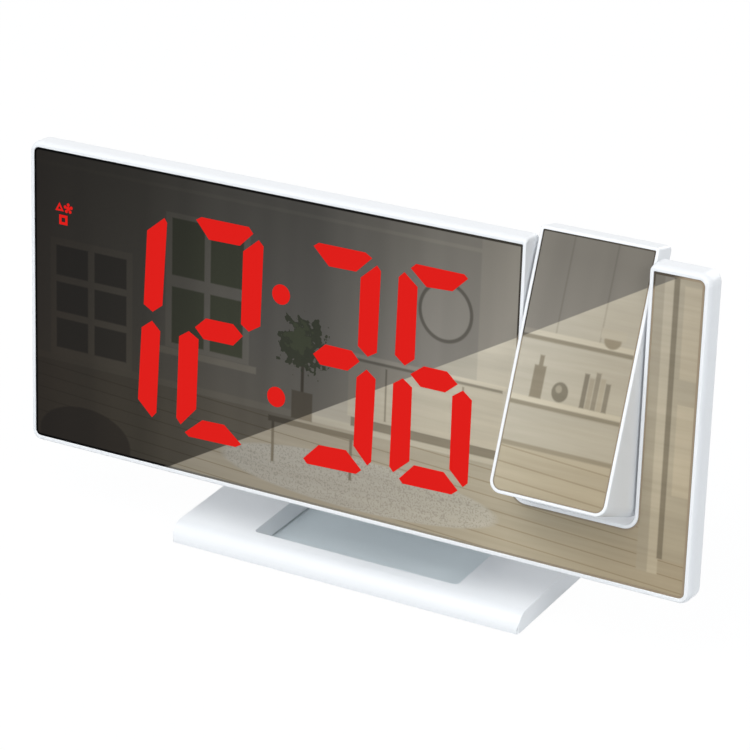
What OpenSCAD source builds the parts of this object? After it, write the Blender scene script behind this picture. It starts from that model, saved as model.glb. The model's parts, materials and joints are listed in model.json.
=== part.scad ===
// Projection alarm clock: a mirror-faced LED clock on a loop stand. An arm swings in
// a bay at its right end and throws the time on the ceiling or on a wall.
// Millimetres, Z up, the face looks toward -Y and the table is z = 0. The origin is on
// the table, under the middle of the front rubber strip.

/* [Body] */
// Width of the clock body
body_w = 188; // [168:1:212]
// Height of the clock body along its face
body_h = 80; // [72:1:92]
// Depth of the clock body from its face to the back of the rear cover
body_depth = 26; // [24.5:0.5:34]
// Depth of the white band that runs round the mirror
band_depth = 6.6; // [6.2:0.2:7.4]
// Radius of the four corners seen from the front
corner_r = 3; // [1.5:0.5:6]
// Width of the white rim round the mirror
rim = 1.5; // [1:0.1:2.4]
// Wall of the front frame's outer ring
ring_wall = 2.4; // [2:0.1:3]
// Plate of the front frame that backs the mirror
tray_t = 1.4; // [1:0.1:2]
// Thickness of the mirror panel
mirror_t = 1.6; // [1.2:0.1:2.4]
// How far the mirror lies behind the rim
mirror_sink = 0.2; // [0.1:0.1:0.6]
// Wall of the rear cover
cover_wall = 1.6; // [1.2:0.1:2.4]
// Set-back of the rear housing from the left edge of the body
box_inset_left = 12; // [10:0.5:14]
// Set-back of the rear housing from the top edge
box_inset_top = 7; // [6:0.5:8]
// Set-back of the rear housing from the bottom edge
box_inset_bottom = 7; // [6:0.5:8]
// Radius of the rear housing's back edges
box_edge_r = 4; // [2:0.5:6]

/* [Arm and bay] */
// Width of the projector arm
arm_w = 30.3; // [28:0.5:34]
// Length of the projector arm
arm_len = 62.5; // [56:0.5:64]
// Depth of the arm with its housing
arm_depth = 21; // [19:0.5:23]
// Depth of the arm's white band
arm_band = 6.6; // [5.6:0.2:7.4]
// Width of the white rim round the arm's mirror
arm_rim = 0.8; // [0.6:0.1:2]
// Wall of the arm's shells
arm_wall = 1.6; // [1.2:0.1:2.2]
// How far the arm's top climbs from the mirror to the back of the band
arm_top_rise = 1.2; // [0:0.1:2]
// How far the housing's top lies under the arm's top
housing_drop = 6.8; // [6:0.2:9]
// Body left standing to the right of the bay
column_w = 15.1; // [13:0.5:18]
// Gap between the arm and each side of the bay
arm_gap = 0.6; // [0.4:0.1:1]
// Gap between the swinging end of the arm and the floor of the bay
swing_gap = 1; // [0.6:0.1:1.6]
// White rim round the bay
bay_rim = 0.9; // [0.7:0.1:1.6]
// Radius of the arm's two lower corners
arm_corner_r = 3; // [1.5:0.5:5]
// How far the pivot lies under the top of the arm
pivot_down = 16; // [13:0.5:20]
// How far the pivot lies behind the face
pivot_dep = 10; // [9.8:0.1:11]
// Diameter of the arm's pivot pins
pivot_d = 4; // [3:0.5:4.5]
// How far the arm stands open, its lower end forward
arm_open = 19; // [-90:1:90]

/* [Projector] */
// Diameter of the lens barrel
barrel_d = 8.6; // [7:0.2:9]
// Wall of the optics tube
tube_wall = 1; // [0.8:0.1:1.2]
// Diameter of the focus ring
ring_d = 12.6; // [11.6:0.2:13.4]
// Height of the focus ring
ring_h = 4.2; // [3:0.2:5]
// Finger flutes round the focus ring
ring_flutes = 24; // [12:2:36]

/* [Display] */
// Room above and under the digits, taken together
digit_room_h = 23.6; // [23:0.2:32]
// Room between the display block and the bay
display_end = 10.9; // [8:0.1:16]
// Gap between two neighbouring digits
digit_gap = 6.3; // [5:0.1:9]
// Width of one light bar
bar_w = 5.2; // [3.6:0.2:6]
// Gap between two neighbouring light bars
bar_gap = 1.7; // [1:0.1:2.4]
// Extra room for the colon
colon_room = 4.8; // [4:0.2:8]
// Radius of a colon dot
dot_r = 2.6; // [1.6:0.1:3]
// Depth of the reflector block
reflector_t = 7.1; // [6:0.1:8]
// Thickness of every circuit board
board_t = 1.6; // [1:0.2:2]

/* [Buttons and sockets] */
// Width of a button
button_w = 10; // [8:0.5:12]
// Height of a button
button_h = 5; // [4:0.5:6]
// Distance from button to button, as a share of the rear housing's width
button_step = 0.1236; // [0.115:0.0002:0.13]
// How far a button stands out of the rear cover
button_out = 1.2; // [0.8:0.1:2]
// How far a button can be pressed
button_travel = 0.6; // [0.3:0.1:0.8]
// Diameter of the speaker
speaker_d = 28; // [22:1:30]
// Width and height of the battery door
door_w = 24; // [22.5:0.5:26]
// Diameter of the coin cell
cell_d = 20; // [16:0.5:20]

/* [Stand] */
// Width of the stand
stand_w = 100; // [80:1:130]
// Depth of the stand on the table
stand_depth = 58; // [54:1:70]
// Thickness of the stand's plate at the front
stand_t = 4.8; // [4:0.2:7]
// Thickness of the stand's plate at the bend and in the riser
riser_t = 5.6; // [4.6:0.2:6.6]
// Outer radius of the bend
bend_r = 11; // [9:0.5:14]
// Radius of the stand's two front corners seen from above
stand_corner_r = 0.8; // [0.5:0.1:4]
// Width of the bar in front of the window
front_bar = 7; // [5:0.2:10]
// Width of the window in the stand
window_w = 59; // [40:1:76]
// How far the rubber strips stand out under the stand
foot_out = 0.5; // [0.3:0.1:1]
// Height of the body's front lower edge above the table
body_lift = 19; // [17:0.5:26]
// Lean of the body backward
tilt = 6; // [0:0.5:14]
// Width of the stand's hinge knuckle
knuckle_w = 39; // [30:1:50]
// Diameter of the hinge pin
hinge_d = 4; // [3:0.5:4.5]

/* [Fits] */
// Clearance between a pin and the bore that turns on it, on the radius
run_fit = 0.06; // [0.03:0.01:0.1]
// Clearance round pieces that drop into a seat
seat_fit = 0.15; // [0.05:0.05:0.2]
// Clearance round a button in its hole
button_fit = 0.3; // [0.2:0.05:0.4]

/* [Hidden] */
$fn = 64;
eps = 0.01;
over = 2;

shell_white = [0.93, 0.94, 0.95];
mirror_grey = [0.36, 0.35, 0.33];
lamp_red = [0.88, 0.12, 0.1];
dark_grey = [0.16, 0.16, 0.17];
board_green = [0.1, 0.36, 0.2];
steel = [0.75, 0.76, 0.78];
rubber_grey = [0.3, 0.3, 0.31];
glass_blue = [0.75, 0.85, 0.9];

// Body: x across, y is depth behind the face, z is height along the face
half_w = body_w / 2;
face_y = -2.1;
mirror_back = mirror_sink + mirror_t;
tray_back = mirror_back + tray_t;
brim_t = 1.6;
brim_front = band_depth - brim_t;
ring_edge_r = 1.6;
front_edge_r = 1.1;
box_left = -half_w + box_inset_left;
box_bottom = box_inset_bottom;
box_top = body_h - box_inset_top;
wall_in = body_depth - cover_wall;

// Bay and arm, the arm shut flush with the face
bay_w = arm_w + 2 * arm_gap;
bay_right = half_w - column_w;
bay_left = bay_right - bay_w;
arm_x = (bay_left + bay_right) / 2;
arm_top = body_h - 0.2;
arm_bottom = arm_top - arm_len;
pivot_h = arm_top - pivot_down;
housing_top = arm_top - housing_drop;
housing_edge_r = 5;
bay_corner_r = arm_corner_r;
reach = pivot_h - arm_bottom;
back_reach = norm([reach - housing_edge_r, arm_depth - pivot_dep - housing_edge_r]);
sweep_r = max(norm([reach, pivot_dep]), back_reach + housing_edge_r) + swing_gap;
ear_right = bay_right + 8.1;
ear_depth = 16;
boss_len = 4.5;
pin_in_arm = 4.3;
boss_r = pivot_dep - band_depth - 0.1;

// Display stack
display_left = box_left + cover_wall + 0.4;
board_margin = 3.6;
block_margin = 1.4;
block_left = display_left + board_margin;
block_w = bay_left - display_end - block_left;
digit_pitch = (block_w - 2 * block_margin - colon_room + digit_gap) / 4;
digit_w = digit_pitch - digit_gap;
digit_h = body_h - digit_room_h;
display_x = block_left + block_w / 2;
display_h = (box_bottom + box_top) / 2 + 1;
block_h = digit_h + 2 * block_margin;
block_front = mirror_back + 0.1;
block_back = block_front + reflector_t;
board_w = block_w + 2 * board_margin;
board_back = block_back + board_t;
lamp_t = 1.5;
mark_w = 5.6;
mark_x = block_left - 7;
mark_h = display_h + digit_h / 2 - 6.2;
wing_t = 2.5;
digit_x = [for (k = [-1.5, -0.5, 0.5, 1.5]) display_x + k * digit_pitch + sign(k) * colon_room / 2];
colon_up = 13;
colon_h = [display_h + colon_up, display_h - colon_up];
chip_w = 10;
chip_t = 1.4;
chip_x = display_x - 4;
chip_h = display_h - 16;

// Bars of a digit: a top, b and c right, d bottom, e and f left, g middle
bars = ["a", "b", "c", "d", "e", "f", "g"];
shown = ["bc", "abged", "abgcd", "afgecd"];

// Keys, sockets, sound and cell, placed on the rear cover
rear_w = bay_left - box_left;
button_drop = 11;
button_row_h = box_top - button_drop;
button_x = [for (k = [0 : 5]) box_left + rear_w * (0.1546 + k * button_step)];
button_flange = 1.2;
key_board_x = (button_x[0] + button_x[5]) / 2;
key_board_edge = 5;
key_board_w = button_x[5] - button_x[0] + button_w + 2 * key_board_edge;
key_board_rim = 4;
key_board_h = button_h + 2 * key_board_rim;
key_board_low = button_row_h - key_board_h / 2;
key_board_in = 8.4;
key_board_back = body_depth - key_board_in;
switch_w = 6;
switch_stem_r = 1.7;
switch_top = body_depth - 3.2 - button_travel;
rear_gap = 1;
speaker_rim = 1.5;
speaker_x = box_left + rear_w * 0.8192;
speaker_h = key_board_low - rear_gap - speaker_rim - speaker_d / 2;
speaker_t = 8;
door_x = box_left + rear_w * 0.5255;
door_h = key_board_low - rear_gap - 0.9 - cover_wall - door_w / 2;
groove_r = 3.4;
groove_w = 7;
groove_in = 0.8;
cell_t = 3.2;
cell_step = 0.7;
cell_edge = 1;
cell_back = body_depth - 4.1;
contact_t = 0.3;
contact_w = 6;
socket_h = speaker_h;
socket_len = 10.5;
socket_pitch = 18;
usb_w = 14.4;
usb_h = 6.4;
usb_t = 0.5;
tongue_t = 1.8;
jack_w = 9;
jack_bore_d = 5.8;
jack_pin_d = 1.8;
jack_x = box_left + rear_w * 0.108;
usb_x = jack_x + socket_pitch;
power_board_edge = 3;
power_board_w = socket_pitch + (usb_w + jack_w) / 2 + 2 * power_board_edge;
power_board_x = (usb_x + usb_w / 2 + jack_x - jack_w / 2) / 2;
power_board_h = 18;
power_board_back = body_depth - 0.1 - socket_len;

// Screws
screw_d = 2;
screw_head_d = 3.8;
screw_head_t = 1.3;
screw_inset = 4.8;
screw_x = [-half_w + screw_inset, -20, half_w - screw_inset];
screw_h = [screw_inset, body_h - screw_inset];
post_r = 1.7;
board_post_x = [display_left + post_r + 0.1, display_left + board_w - post_r - 0.1];
board_post_up = 15;
board_post_h = [display_h - board_post_up, display_h + board_post_up];
key_post_x = [key_board_x - key_board_w / 2 + 2.6, key_board_x + key_board_w / 2 - 2.6];
key_post_h = [button_row_h - key_board_rim, button_row_h + key_board_rim];
power_post_x = (usb_x - usb_w / 2 + jack_x + jack_w / 2) / 2;
power_post_h = [socket_h - power_board_h / 3, socket_h + power_board_h / 3];
board_screw_len = 5;

// Projector
lens_dep = (arm_band + arm_depth) / 2;
tube_in = barrel_d / 2 + 0.1;
tube_out = tube_in + tube_wall;
lamp_board_h = arm_bottom + 8.5;
lamp_board_t = 1.2;
tube_bottom = lamp_board_h + lamp_board_t;
condenser_h = tube_bottom + 10;
slide_h = tube_bottom + 17;
barrel_len = 16.8;
barrel_top = housing_top + 3.8;
barrel_wall = 0.9;
ring_bottom = housing_top + 0.2;

// Stand, in the row's own frame
hinge_r = 3.6;
lug_r = 4.6;
lug_w = 6;
lug_gap = 0.6;
hinge_dep = body_depth + hinge_r + 0.4;
hinge_up = 13;
hinge_y = face_y + hinge_up * sin(tilt) + hinge_dep * cos(tilt);
hinge_z = body_lift + hinge_up * cos(tilt) - hinge_dep * sin(tilt);
stand_front = -front_bar / 2;
nose_r = stand_t - 0.3;
bend_y = stand_front + stand_depth - bend_r;
bend_z = foot_out + bend_r;
bend_mid = bend_r - riser_t / 2;
to_hinge = [hinge_y - bend_y, hinge_z - bend_z];
bend_end = atan2(to_hinge[1], to_hinge[0]) - acos(bend_mid / norm(to_hinge));
riser_len = sqrt(norm(to_hinge) ^ 2 - bend_mid ^ 2);
shoulder_r = 12;
shoulder_z = hinge_z - hinge_r - 11;
strip_w = 4.8;

// ---------- placement ----------
module in_body() {
  translate([0, face_y, body_lift]) rotate([-tilt, 0, 0]) children();
}

module in_arm() {
  in_body()
    translate([0, pivot_dep, pivot_h])
      rotate([-arm_open, 0, 0])
        translate([0, -pivot_dep, -pivot_h])
          children();
}

// ---------- shared forms ----------
// A front view, drawn in x and height, from depth y0 to y1
module from_front(y0, y1) {
  translate([0, y1, 0]) rotate([90, 0, 0]) linear_extrude(y1 - y0) children();
}

// A side view, drawn in depth and height, w wide about x
module from_side(x, w) {
  translate([x - w / 2, 0, 0]) rotate([90, 0, 90]) linear_extrude(w) children();
}

// A rectangle with its own corner radius at the low and the high end of its second axis
module plate(x0, x1, z0, z1, r_low, r_high) {
  translate([x0, z0 + r_low]) square([x1 - x0, z1 - z0 - r_low - r_high]);
  translate([x0 + r_low, z0]) square([x1 - x0 - 2 * r_low, r_low + eps]);
  translate([x0 + r_high, z1 - r_high - eps]) square([x1 - x0 - 2 * r_high, r_high + eps]);
  for (x = [x0 + r_low, x1 - r_low]) translate([x, z0 + r_low]) circle(r_low);
  for (x = [x0 + r_high, x1 - r_high]) translate([x, z1 - r_high]) circle(r_high);
}

// A block with corner radius r seen from the front and rounded front and back edges
module soft_block(x, y, z, r, r_front, r_back) {
  intersection() {
    from_front(y[0], y[1]) plate(x[0], x[1], z[0], z[1], r, r);
    translate([0, 0, z[0]]) linear_extrude(z[1] - z[0]) plate(x[0], x[1], y[0], y[1], r_front, r_back);
    from_side((x[0] + x[1]) / 2, x[1] - x[0])
      mirror([1, -1]) plate(z[0], z[1], y[0], y[1], r_front, r_back);
  }
}

module block(x, y, z) {
  translate([x[0], y[0], z[0]]) cube([x[1] - x[0], y[1] - y[0], z[1] - z[0]]);
}

// A pin or bore that points backward from depth y0 to y1
module peg(x, h, r, y0, y1) {
  translate([x, y0, h]) rotate([-90, 0, 0]) cylinder(r = r, h = y1 - y0);
}

// A pin or bore that lies along x
module axle(x0, x1, y, z, r) {
  translate([x0, y, z]) rotate([0, 90, 0]) cylinder(r = r, h = x1 - x0);
}

module pill(w, h) {
  square([w - h, h], center = true);
  for (s = [-1, 1]) translate([s * (w - h) / 2, 0]) circle(h / 2);
}

// The room that the arm sweeps: a drum about the pivot with rounded rims
module arm_sweep(grow = 0) {
  r = sweep_r + grow;
  w = bay_w / 2 + grow;
  f = bay_corner_r + grow;
  translate([arm_x, pivot_dep, pivot_h])
    rotate([0, 90, 0])
      rotate_extrude($fn = 128) {
        translate([0, -w]) square([r - f, 2 * w]);
        translate([0, f - w]) square([r, 2 * (w - f)]);
        for (s = [-1, 1]) translate([r - f, s * (w - f)]) circle(f);
      }
}

// ---------- front of the body ----------
module front_frame() {
  color(shell_white) in_body() difference() {
    union() {
      difference() {
        soft_block([-half_w, half_w], [0, band_depth], [0, body_h], corner_r, front_edge_r, ring_edge_r);
        mirror_seat(-over, mirror_back, 0);
        difference() {
          block([ring_wall - half_w, half_w - ring_wall], [tray_back, band_depth + over],
            [ring_wall, body_h - ring_wall]);
          arm_sweep(cover_wall);
        }
        display_window();
      }
      for (x = screw_x, h = screw_h) peg(x, h, 2.2, tray_back - eps, brim_front);
      for (x = board_post_x, h = board_post_h) peg(x, h, post_r, tray_back - eps, block_back);
    }
    arm_sweep();
    for (x = screw_x, h = screw_h) peg(x, h, screw_d / 2 + 0.02, tray_back - 0.9, brim_front + over);
    for (x = board_post_x, h = board_post_h) peg(x, h, screw_d / 2 + 0.02, tray_back, block_back + over);
  }
}

// The mirror's outline from depth y0 to y1, kept off the seat by gap
module mirror_seat(y0, y1, gap) {
  inset = rim + gap;
  r = max(corner_r - rim, 0.4);
  difference() {
    from_front(y0, y1) plate(inset - half_w, half_w - inset, inset, body_h - inset, r, r);
    arm_sweep(bay_rim + gap);
  }
}

module mirror_panel() {
  color(mirror_grey) in_body() mirror_seat(mirror_sink, mirror_back, seat_fit);
}

// The opening in the tray that the reflector stands in
module display_window() {
  block([block_left - 0.25, block_left + block_w + 0.25], [0, band_depth + over],
    [display_h - block_h / 2 - 0.25, display_h + block_h / 2 + 0.25]);
  block([mark_x - 5.25, block_left], [0, band_depth], [mark_h - 4.25, mark_h + 4.25]);
}

// ---------- display ----------
// One light bar of a digit centred on the origin: mitred at a corner, pointed at the middle
module bar(name) {
  w = digit_w / 2;
  h = digit_h / 2;
  g = bar_gap * 0.7;
  c = bar_w * 0.24;
  tip = bar_w / 2 + bar_gap;
  if (name == "a") {
    polygon([[c + g - w, h - c], [2 * c + g - w, h], [w - 2 * c - g, h], [w - c - g, h - c],
      [w - g - bar_w, h - bar_w], [g + bar_w - w, h - bar_w]]);
  } else if (name == "b") {
    polygon([[w - c, h - c - g], [w, h - 2 * c - g], [w, tip], [w - bar_w / 2, bar_gap],
      [w - bar_w, tip], [w - bar_w, h - bar_w - g]]);
  } else if (name == "g") {
    m = w - bar_w / 2 - bar_gap;
    polygon([[-m, 0], [bar_w / 2 - m, bar_w / 2], [m - bar_w / 2, bar_w / 2], [m, 0],
      [m - bar_w / 2, -bar_w / 2], [bar_w / 2 - m, -bar_w / 2]]);
  } else if (name == "c") {
    mirror([0, 1]) bar("b");
  } else if (name == "d") {
    mirror([0, 1]) bar("a");
  } else if (name == "f") {
    mirror([1, 0]) bar("b");
  } else {
    rotate(180) bar("b");
  }
}

// The bars that glow when lit is true, and the others when it is false
module bars_of_time(lit) {
  for (k = [0 : 3], name = bars) {
    if ((len(search(name, shown[k])) > 0) == lit) translate([digit_x[k], display_h]) bar(name);
  }
}

module colon_dots() {
  for (h = colon_h) translate([display_x, h]) circle(dot_r);
}

module display_reflector() {
  color(dark_grey) in_body() difference() {
    union() {
      from_front(block_front, block_back)
        plate(block_left, block_left + block_w, display_h - block_h / 2, display_h + block_h / 2, 1, 1);
      block([mark_x - 5, block_left + eps], [block_front, block_front + wing_t], [mark_h - 4, mark_h + 4]);
    }
    from_front(block_front - over, block_back + over) {
      bars_of_time(true);
      bars_of_time(false);
      colon_dots();
    }
    from_front(block_front - over, block_front + lamp_t) mark_signs();
  }
}

module lit_segments() {
  color(lamp_red) in_body() from_front(block_front, block_front + lamp_t) {
    bars_of_time(true);
    colon_dots();
  }
}

module dark_segments() {
  color(dark_grey) in_body() from_front(block_front, block_front + lamp_t) bars_of_time(false);
}

// The lit signs at the upper left: an open triangle and a star of dots over an open square
module mark_signs() {
  w = 0.46 * mark_w;
  translate([mark_x - 0.24 * mark_w, mark_h + 0.22 * mark_w]) rotate(90) difference() {
    circle(0.58 * w, $fn = 3);
    circle(0.22 * w, $fn = 3);
  }
  translate([mark_x + 0.24 * mark_w, mark_h + 0.26 * mark_w]) {
    circle(0.3 * w);
    for (k = [0 : 4]) rotate(90 + 72 * k) translate([0.35 * w, 0]) circle(0.15 * w);
  }
  translate([mark_x - 0.03 * mark_w, mark_h - 0.31 * mark_w]) difference() {
    square(w, center = true);
    square(0.45 * w, center = true);
  }
}

module indicator_light() {
  color(lamp_red) in_body() from_front(block_front, block_front + lamp_t) mark_signs();
}

// Where the lamp chip of each bar sits, as [x, height] from the middle of the digit
lamp_spots = [
  [0, digit_h / 2 - bar_w / 2], [digit_w / 2 - bar_w / 2, digit_h / 4],
  [digit_w / 2 - bar_w / 2, -digit_h / 4], [0, bar_w / 2 - digit_h / 2],
  [bar_w / 2 - digit_w / 2, -digit_h / 4], [bar_w / 2 - digit_w / 2, digit_h / 4], [0, 0]
];

module display_leds() {
  color([0.95, 0.9, 0.6]) in_body() {
    for (x = digit_x, s = lamp_spots) lamp_chip(x + s[0], display_h + s[1]);
    for (h = colon_h) lamp_chip(display_x, h);
  }
}

module lamp_chip(x, h) {
  block([x - 0.8, x + 0.8], [block_back - 0.7, block_back], [h - 0.5, h + 0.5]);
}

module circuit_board(x, y, h, w, tall, r, holes_x, holes_h) {
  difference() {
    from_front(y - board_t, y) plate(x - w / 2, x + w / 2, h - tall / 2, h + tall / 2, r, r);
    for (hx = holes_x, hh = holes_h) peg(hx, hh, screw_d / 2 + 0.15, y - board_t - over, y + over);
  }
}

module main_board() {
  color(board_green) in_body()
    circuit_board(display_left + board_w / 2, board_back, display_h, board_w, block_h, 3,
      board_post_x, board_post_h);
}

// The clock chip, its driver and a capacitor, in a row behind the lower half of the display
module controller_chips() {
  color(dark_grey) in_body() {
    w = chip_w / 2;
    block([chip_x - w, chip_x + w], [board_back, board_back + chip_t], [chip_h - w, chip_h + w]);
    block([chip_x + 2 * w, chip_x + 3 * w], [board_back, board_back + chip_t],
      [chip_h - w / 2, chip_h + w / 2]);
    peg(chip_x + 4.4 * w, chip_h, w / 2, board_back, board_back + 2 * chip_t);
  }
}

// ---------- rear cover ----------
// The housing behind the band, inset by i: deep to the left of the bay, shallow round it
module rear_form(i, y0) {
  r = max(5 - i, 1);
  e = max(box_edge_r - i, 0.8);
  heights = [box_bottom + i, box_top - i];
  soft_block([box_left + i, bay_left + over], [y0, body_depth - i], heights, r, 0.2, e);
  soft_block([box_left + i, ear_right - i], [y0, ear_depth - i], heights, r, 0.2, e);
}

module rear_cover() {
  color(shell_white) in_body() difference() {
    union() {
      difference() {
        union() {
          brim();
          rear_form(0, band_depth - eps);
        }
        liner_room();
        difference() {
          rear_form(cover_wall, brim_front - over);
          arm_sweep(cover_wall);
          block([bay_left - cover_wall, half_w], [ear_depth - cover_wall, body_depth], [0, body_h]);
        }
      }
      pivot_bosses();
      cover_posts();
      battery_tray();
      speaker_ring();
      hinge_lugs();
    }
    arm_sweep();
    for (x = screw_x, h = screw_h) peg(x, h, screw_d / 2 + 0.15, 0, band_depth + over);
    axle(bay_left - over - boss_len, bay_right + over + boss_len, pivot_dep, pivot_h, pivot_d / 2 + 0.02);
    button_holes();
    battery_hole();
    sockets_holes();
    speaker_slots();
    vent_slots();
    in_lugs() axle(-half_w / 2, half_w / 2, 0, 0, hinge_d / 2 + 0.02);
    for (x = key_post_x, h = key_post_h) peg(x, h, screw_d / 2 + 0.02, 0, key_board_back + board_screw_len);
    for (h = power_post_h) peg(power_post_x, h, screw_d / 2 + 0.02, 0, power_board_back + board_screw_len);
  }
}

// Room for the front frame's liner, which ends at the back of the band
module liner_room() {
  intersection() {
    arm_sweep(cover_wall + seat_fit);
    block([bay_left - 9, bay_right + 9], [0, band_depth], [0, body_h]);
  }
}

module brim() {
  inset = ring_wall + seat_fit;
  from_front(brim_front, band_depth) plate(inset - half_w, half_w - inset, inset, body_h - inset, 0.6, 0.6);
}

module pivot_bosses() {
  axle(bay_left - boss_len, bay_left + eps, pivot_dep, pivot_h, boss_r);
  axle(bay_right - eps, bay_right + boss_len, pivot_dep, pivot_h, boss_r);
}

module cover_posts() {
  for (x = key_post_x, h = key_post_h) peg(x, h, 1.8, key_board_back, wall_in + eps);
  for (h = power_post_h) peg(power_post_x, h, 1.8, power_board_back, wall_in + eps);
}

// The block behind the battery door, bored for the coin cell
module battery_tray() {
  w = door_w / 2 + cover_wall;
  c = contact_w / 2 + 0.2;
  difference() {
    block([door_x - w, door_x + w], [cell_back - cell_t - 1.7, wall_in + eps], [door_h - w, door_h + w]);
    peg(door_x, door_h, cell_d / 2 + 0.3, cell_back - cell_t - contact_t, body_depth);
    block([door_x - c, door_x + c], [cell_back - cell_t / 2 - 0.2, body_depth],
      [door_h, door_h + cell_d / 2 + 0.4]);
  }
}

module battery_hole() {
  block([door_x - door_w / 2, door_x + door_w / 2], [wall_in, body_depth + over],
    [door_h - door_w / 2, door_h + door_w / 2]);
}

module speaker_ring() {
  difference() {
    peg(speaker_x, speaker_h, speaker_d / 2 + speaker_rim, wall_in - 3, wall_in + eps);
    peg(speaker_x, speaker_h, speaker_d / 2 + 0.2, wall_in - 3 - over, wall_in + over);
  }
}

// Slots of a round grille, cut off by the rim of the speaker
module speaker_slots() {
  from_front(wall_in - eps, body_depth + over) translate([speaker_x, speaker_h]) intersection() {
    circle(speaker_d * 0.4);
    for (k = [-3 : 3]) translate([-speaker_d / 2, k * speaker_d / 9 - 0.7]) square([speaker_d, 1.4]);
  }
}

module vent_slots() {
  from_front(wall_in - eps, body_depth + over)
    for (k = [0 : 6]) translate([box_left + 12 + 4 * k, box_bottom + 12]) rotate(90) pill(9, 1.6);
}

module button_holes() {
  for (x = button_x) {
    from_front(wall_in - over, body_depth + over)
      translate([x, button_row_h]) pill(button_w + 2 * button_fit, button_h + 2 * button_fit);
  }
}

module sockets_holes() {
  socket_hole(usb_x, usb_w, usb_h);
  socket_hole(jack_x, jack_w, jack_w);
}

module socket_hole(x, w, h) {
  translate([x, 0, socket_h]) from_front(wall_in - over, body_depth + over)
    square([w + 0.4, h + 0.4], center = true);
}

module in_lugs() {
  translate([0, hinge_dep, hinge_up]) children();
}

module hinge_lugs() {
  for (s = [-1, 1]) {
    x = s * (knuckle_w / 2 + lug_gap + lug_w / 2);
    from_side(x, lug_w) {
      translate([hinge_dep, hinge_up]) circle(lug_r);
      translate([wall_in, hinge_up - lug_r]) square([hinge_dep - wall_in, 2 * lug_r]);
    }
  }
}

// ---------- buttons and what they press ----------
module button(k) {
  top = body_depth + button_out;
  color(shell_white) in_body() translate([button_x[k], 0, button_row_h]) {
    from_front(wall_in - 1, wall_in) pill(button_w + 2 * button_flange, button_h + 2 * button_flange);
    from_front(wall_in - eps, top - 0.5) pill(button_w, button_h);
    from_front(top - 0.5 - eps, top) pill(button_w - 1, button_h - 1);
    peg(0, 0, 1.6, switch_top + button_travel + 0.1, wall_in);
  }
}

module snooze_button() button(0);
module mode_button() button(1);
module set_button() button(2);
module up_button() button(3);
module down_button() button(4);
module light_button() button(5);

module key_board() {
  color(board_green) in_body()
    circuit_board(key_board_x, key_board_back, button_row_h, key_board_w, key_board_h, 1,
      key_post_x, key_post_h);
}

module tact_switches() {
  color(dark_grey) in_body() for (x = button_x) {
    s = switch_w / 2;
    block([x - s, x + s], [key_board_back, switch_top - 1], [button_row_h - s, button_row_h + s]);
    peg(x, button_row_h, switch_stem_r, key_board_back, switch_top);
  }
}

// ---------- sockets, sound and battery ----------
module power_board() {
  color(board_green) in_body()
    circuit_board(power_board_x, power_board_back, socket_h, power_board_w, power_board_h, 1,
      [power_post_x], power_post_h);
}

module usb_port() {
  w = usb_w / 2;
  h = usb_h / 2;
  color(steel) in_body() {
    difference() {
      block([usb_x - w, usb_x + w], [power_board_back, power_board_back + socket_len],
        [socket_h - h, socket_h + h]);
      block([usb_x - w + usb_t, usb_x + w - usb_t], [power_board_back + 2 * usb_t, body_depth + over],
        [socket_h - h + usb_t, socket_h + h - usb_t]);
    }
    block([usb_x - w + tongue_t, usb_x + w - tongue_t],
      [power_board_back + 2 * usb_t - eps, body_depth - tongue_t], [socket_h, socket_h + tongue_t]);
  }
}

module power_inlet() {
  color(dark_grey) in_body() {
    difference() {
      block([jack_x - jack_w / 2, jack_x + jack_w / 2], [power_board_back, power_board_back + socket_len],
        [socket_h - jack_w / 2, socket_h + jack_w / 2]);
      peg(jack_x, socket_h, jack_bore_d / 2, power_board_back + jack_pin_d, body_depth + over);
    }
    peg(jack_x, socket_h, jack_pin_d / 2, power_board_back + jack_pin_d - eps, body_depth - jack_pin_d);
  }
}

// The speaker's basket and magnet as one turned form, open toward the grille
module speaker_basket() {
  r = speaker_d / 2;
  color(dark_grey) in_body() translate([speaker_x, wall_in, speaker_h]) rotate([90, 0, 0])
    rotate_extrude()
      polygon([[0, speaker_t], [r * 0.55, speaker_t], [r * 0.55, speaker_t - 3], [r * 0.72, speaker_t - 3.4],
        [r - 0.6, 1.6], [r, 1.6], [r, 0], [r - 1.8, 0], [r - 1.8, 0.9], [r * 0.62, speaker_t - 4.6],
        [0, speaker_t - 4.6]]);
}

module speaker_cone() {
  r = speaker_d / 2 - 2;
  color([0.25, 0.25, 0.26]) in_body() translate([speaker_x, wall_in, speaker_h]) rotate([90, 0, 0])
    rotate_extrude()
      polygon([[0, 3.2], [r * 0.3, 3.2], [r * 0.45, 2.9], [r, 0.7], [r, 0.3], [r * 0.45, 2.4], [r * 0.3, 2],
        [0, 1.6]]);
}

module coin_cell() {
  color(steel) in_body() {
    peg(door_x, door_h, cell_d / 2, cell_back - cell_t + cell_step, cell_back);
    peg(door_x, door_h, cell_d / 2 - cell_edge, cell_back - cell_t, cell_back - cell_t + cell_step + eps);
  }
}

module battery_contacts() {
  y = cell_back - cell_t - contact_t;
  color(steel) in_body() {
    from_front(y, y + contact_t) translate([door_x, door_h]) pill(2 * contact_w, contact_w * 2 / 3);
    block([door_x - contact_w / 2, door_x + contact_w / 2], [cell_back - cell_t / 2, cell_back],
      [door_h + cell_d / 2 + 0.05, door_h + cell_d / 2 + 0.25]);
  }
}

module battery_door() {
  w = door_w / 2 - seat_fit;
  color(shell_white) in_body() difference() {
    union() {
      block([door_x - w, door_x + w], [wall_in, body_depth], [door_h - w, door_h + w]);
      peg(door_x, door_h, cell_d * 0.35, cell_back + 0.1, wall_in + eps);
    }
    translate([0, body_depth + groove_r - groove_in, door_h + w - groove_w * 0.57])
      axle(door_x - groove_w / 2, door_x + groove_w / 2, 0, 0, groove_r);
  }
}

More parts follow.
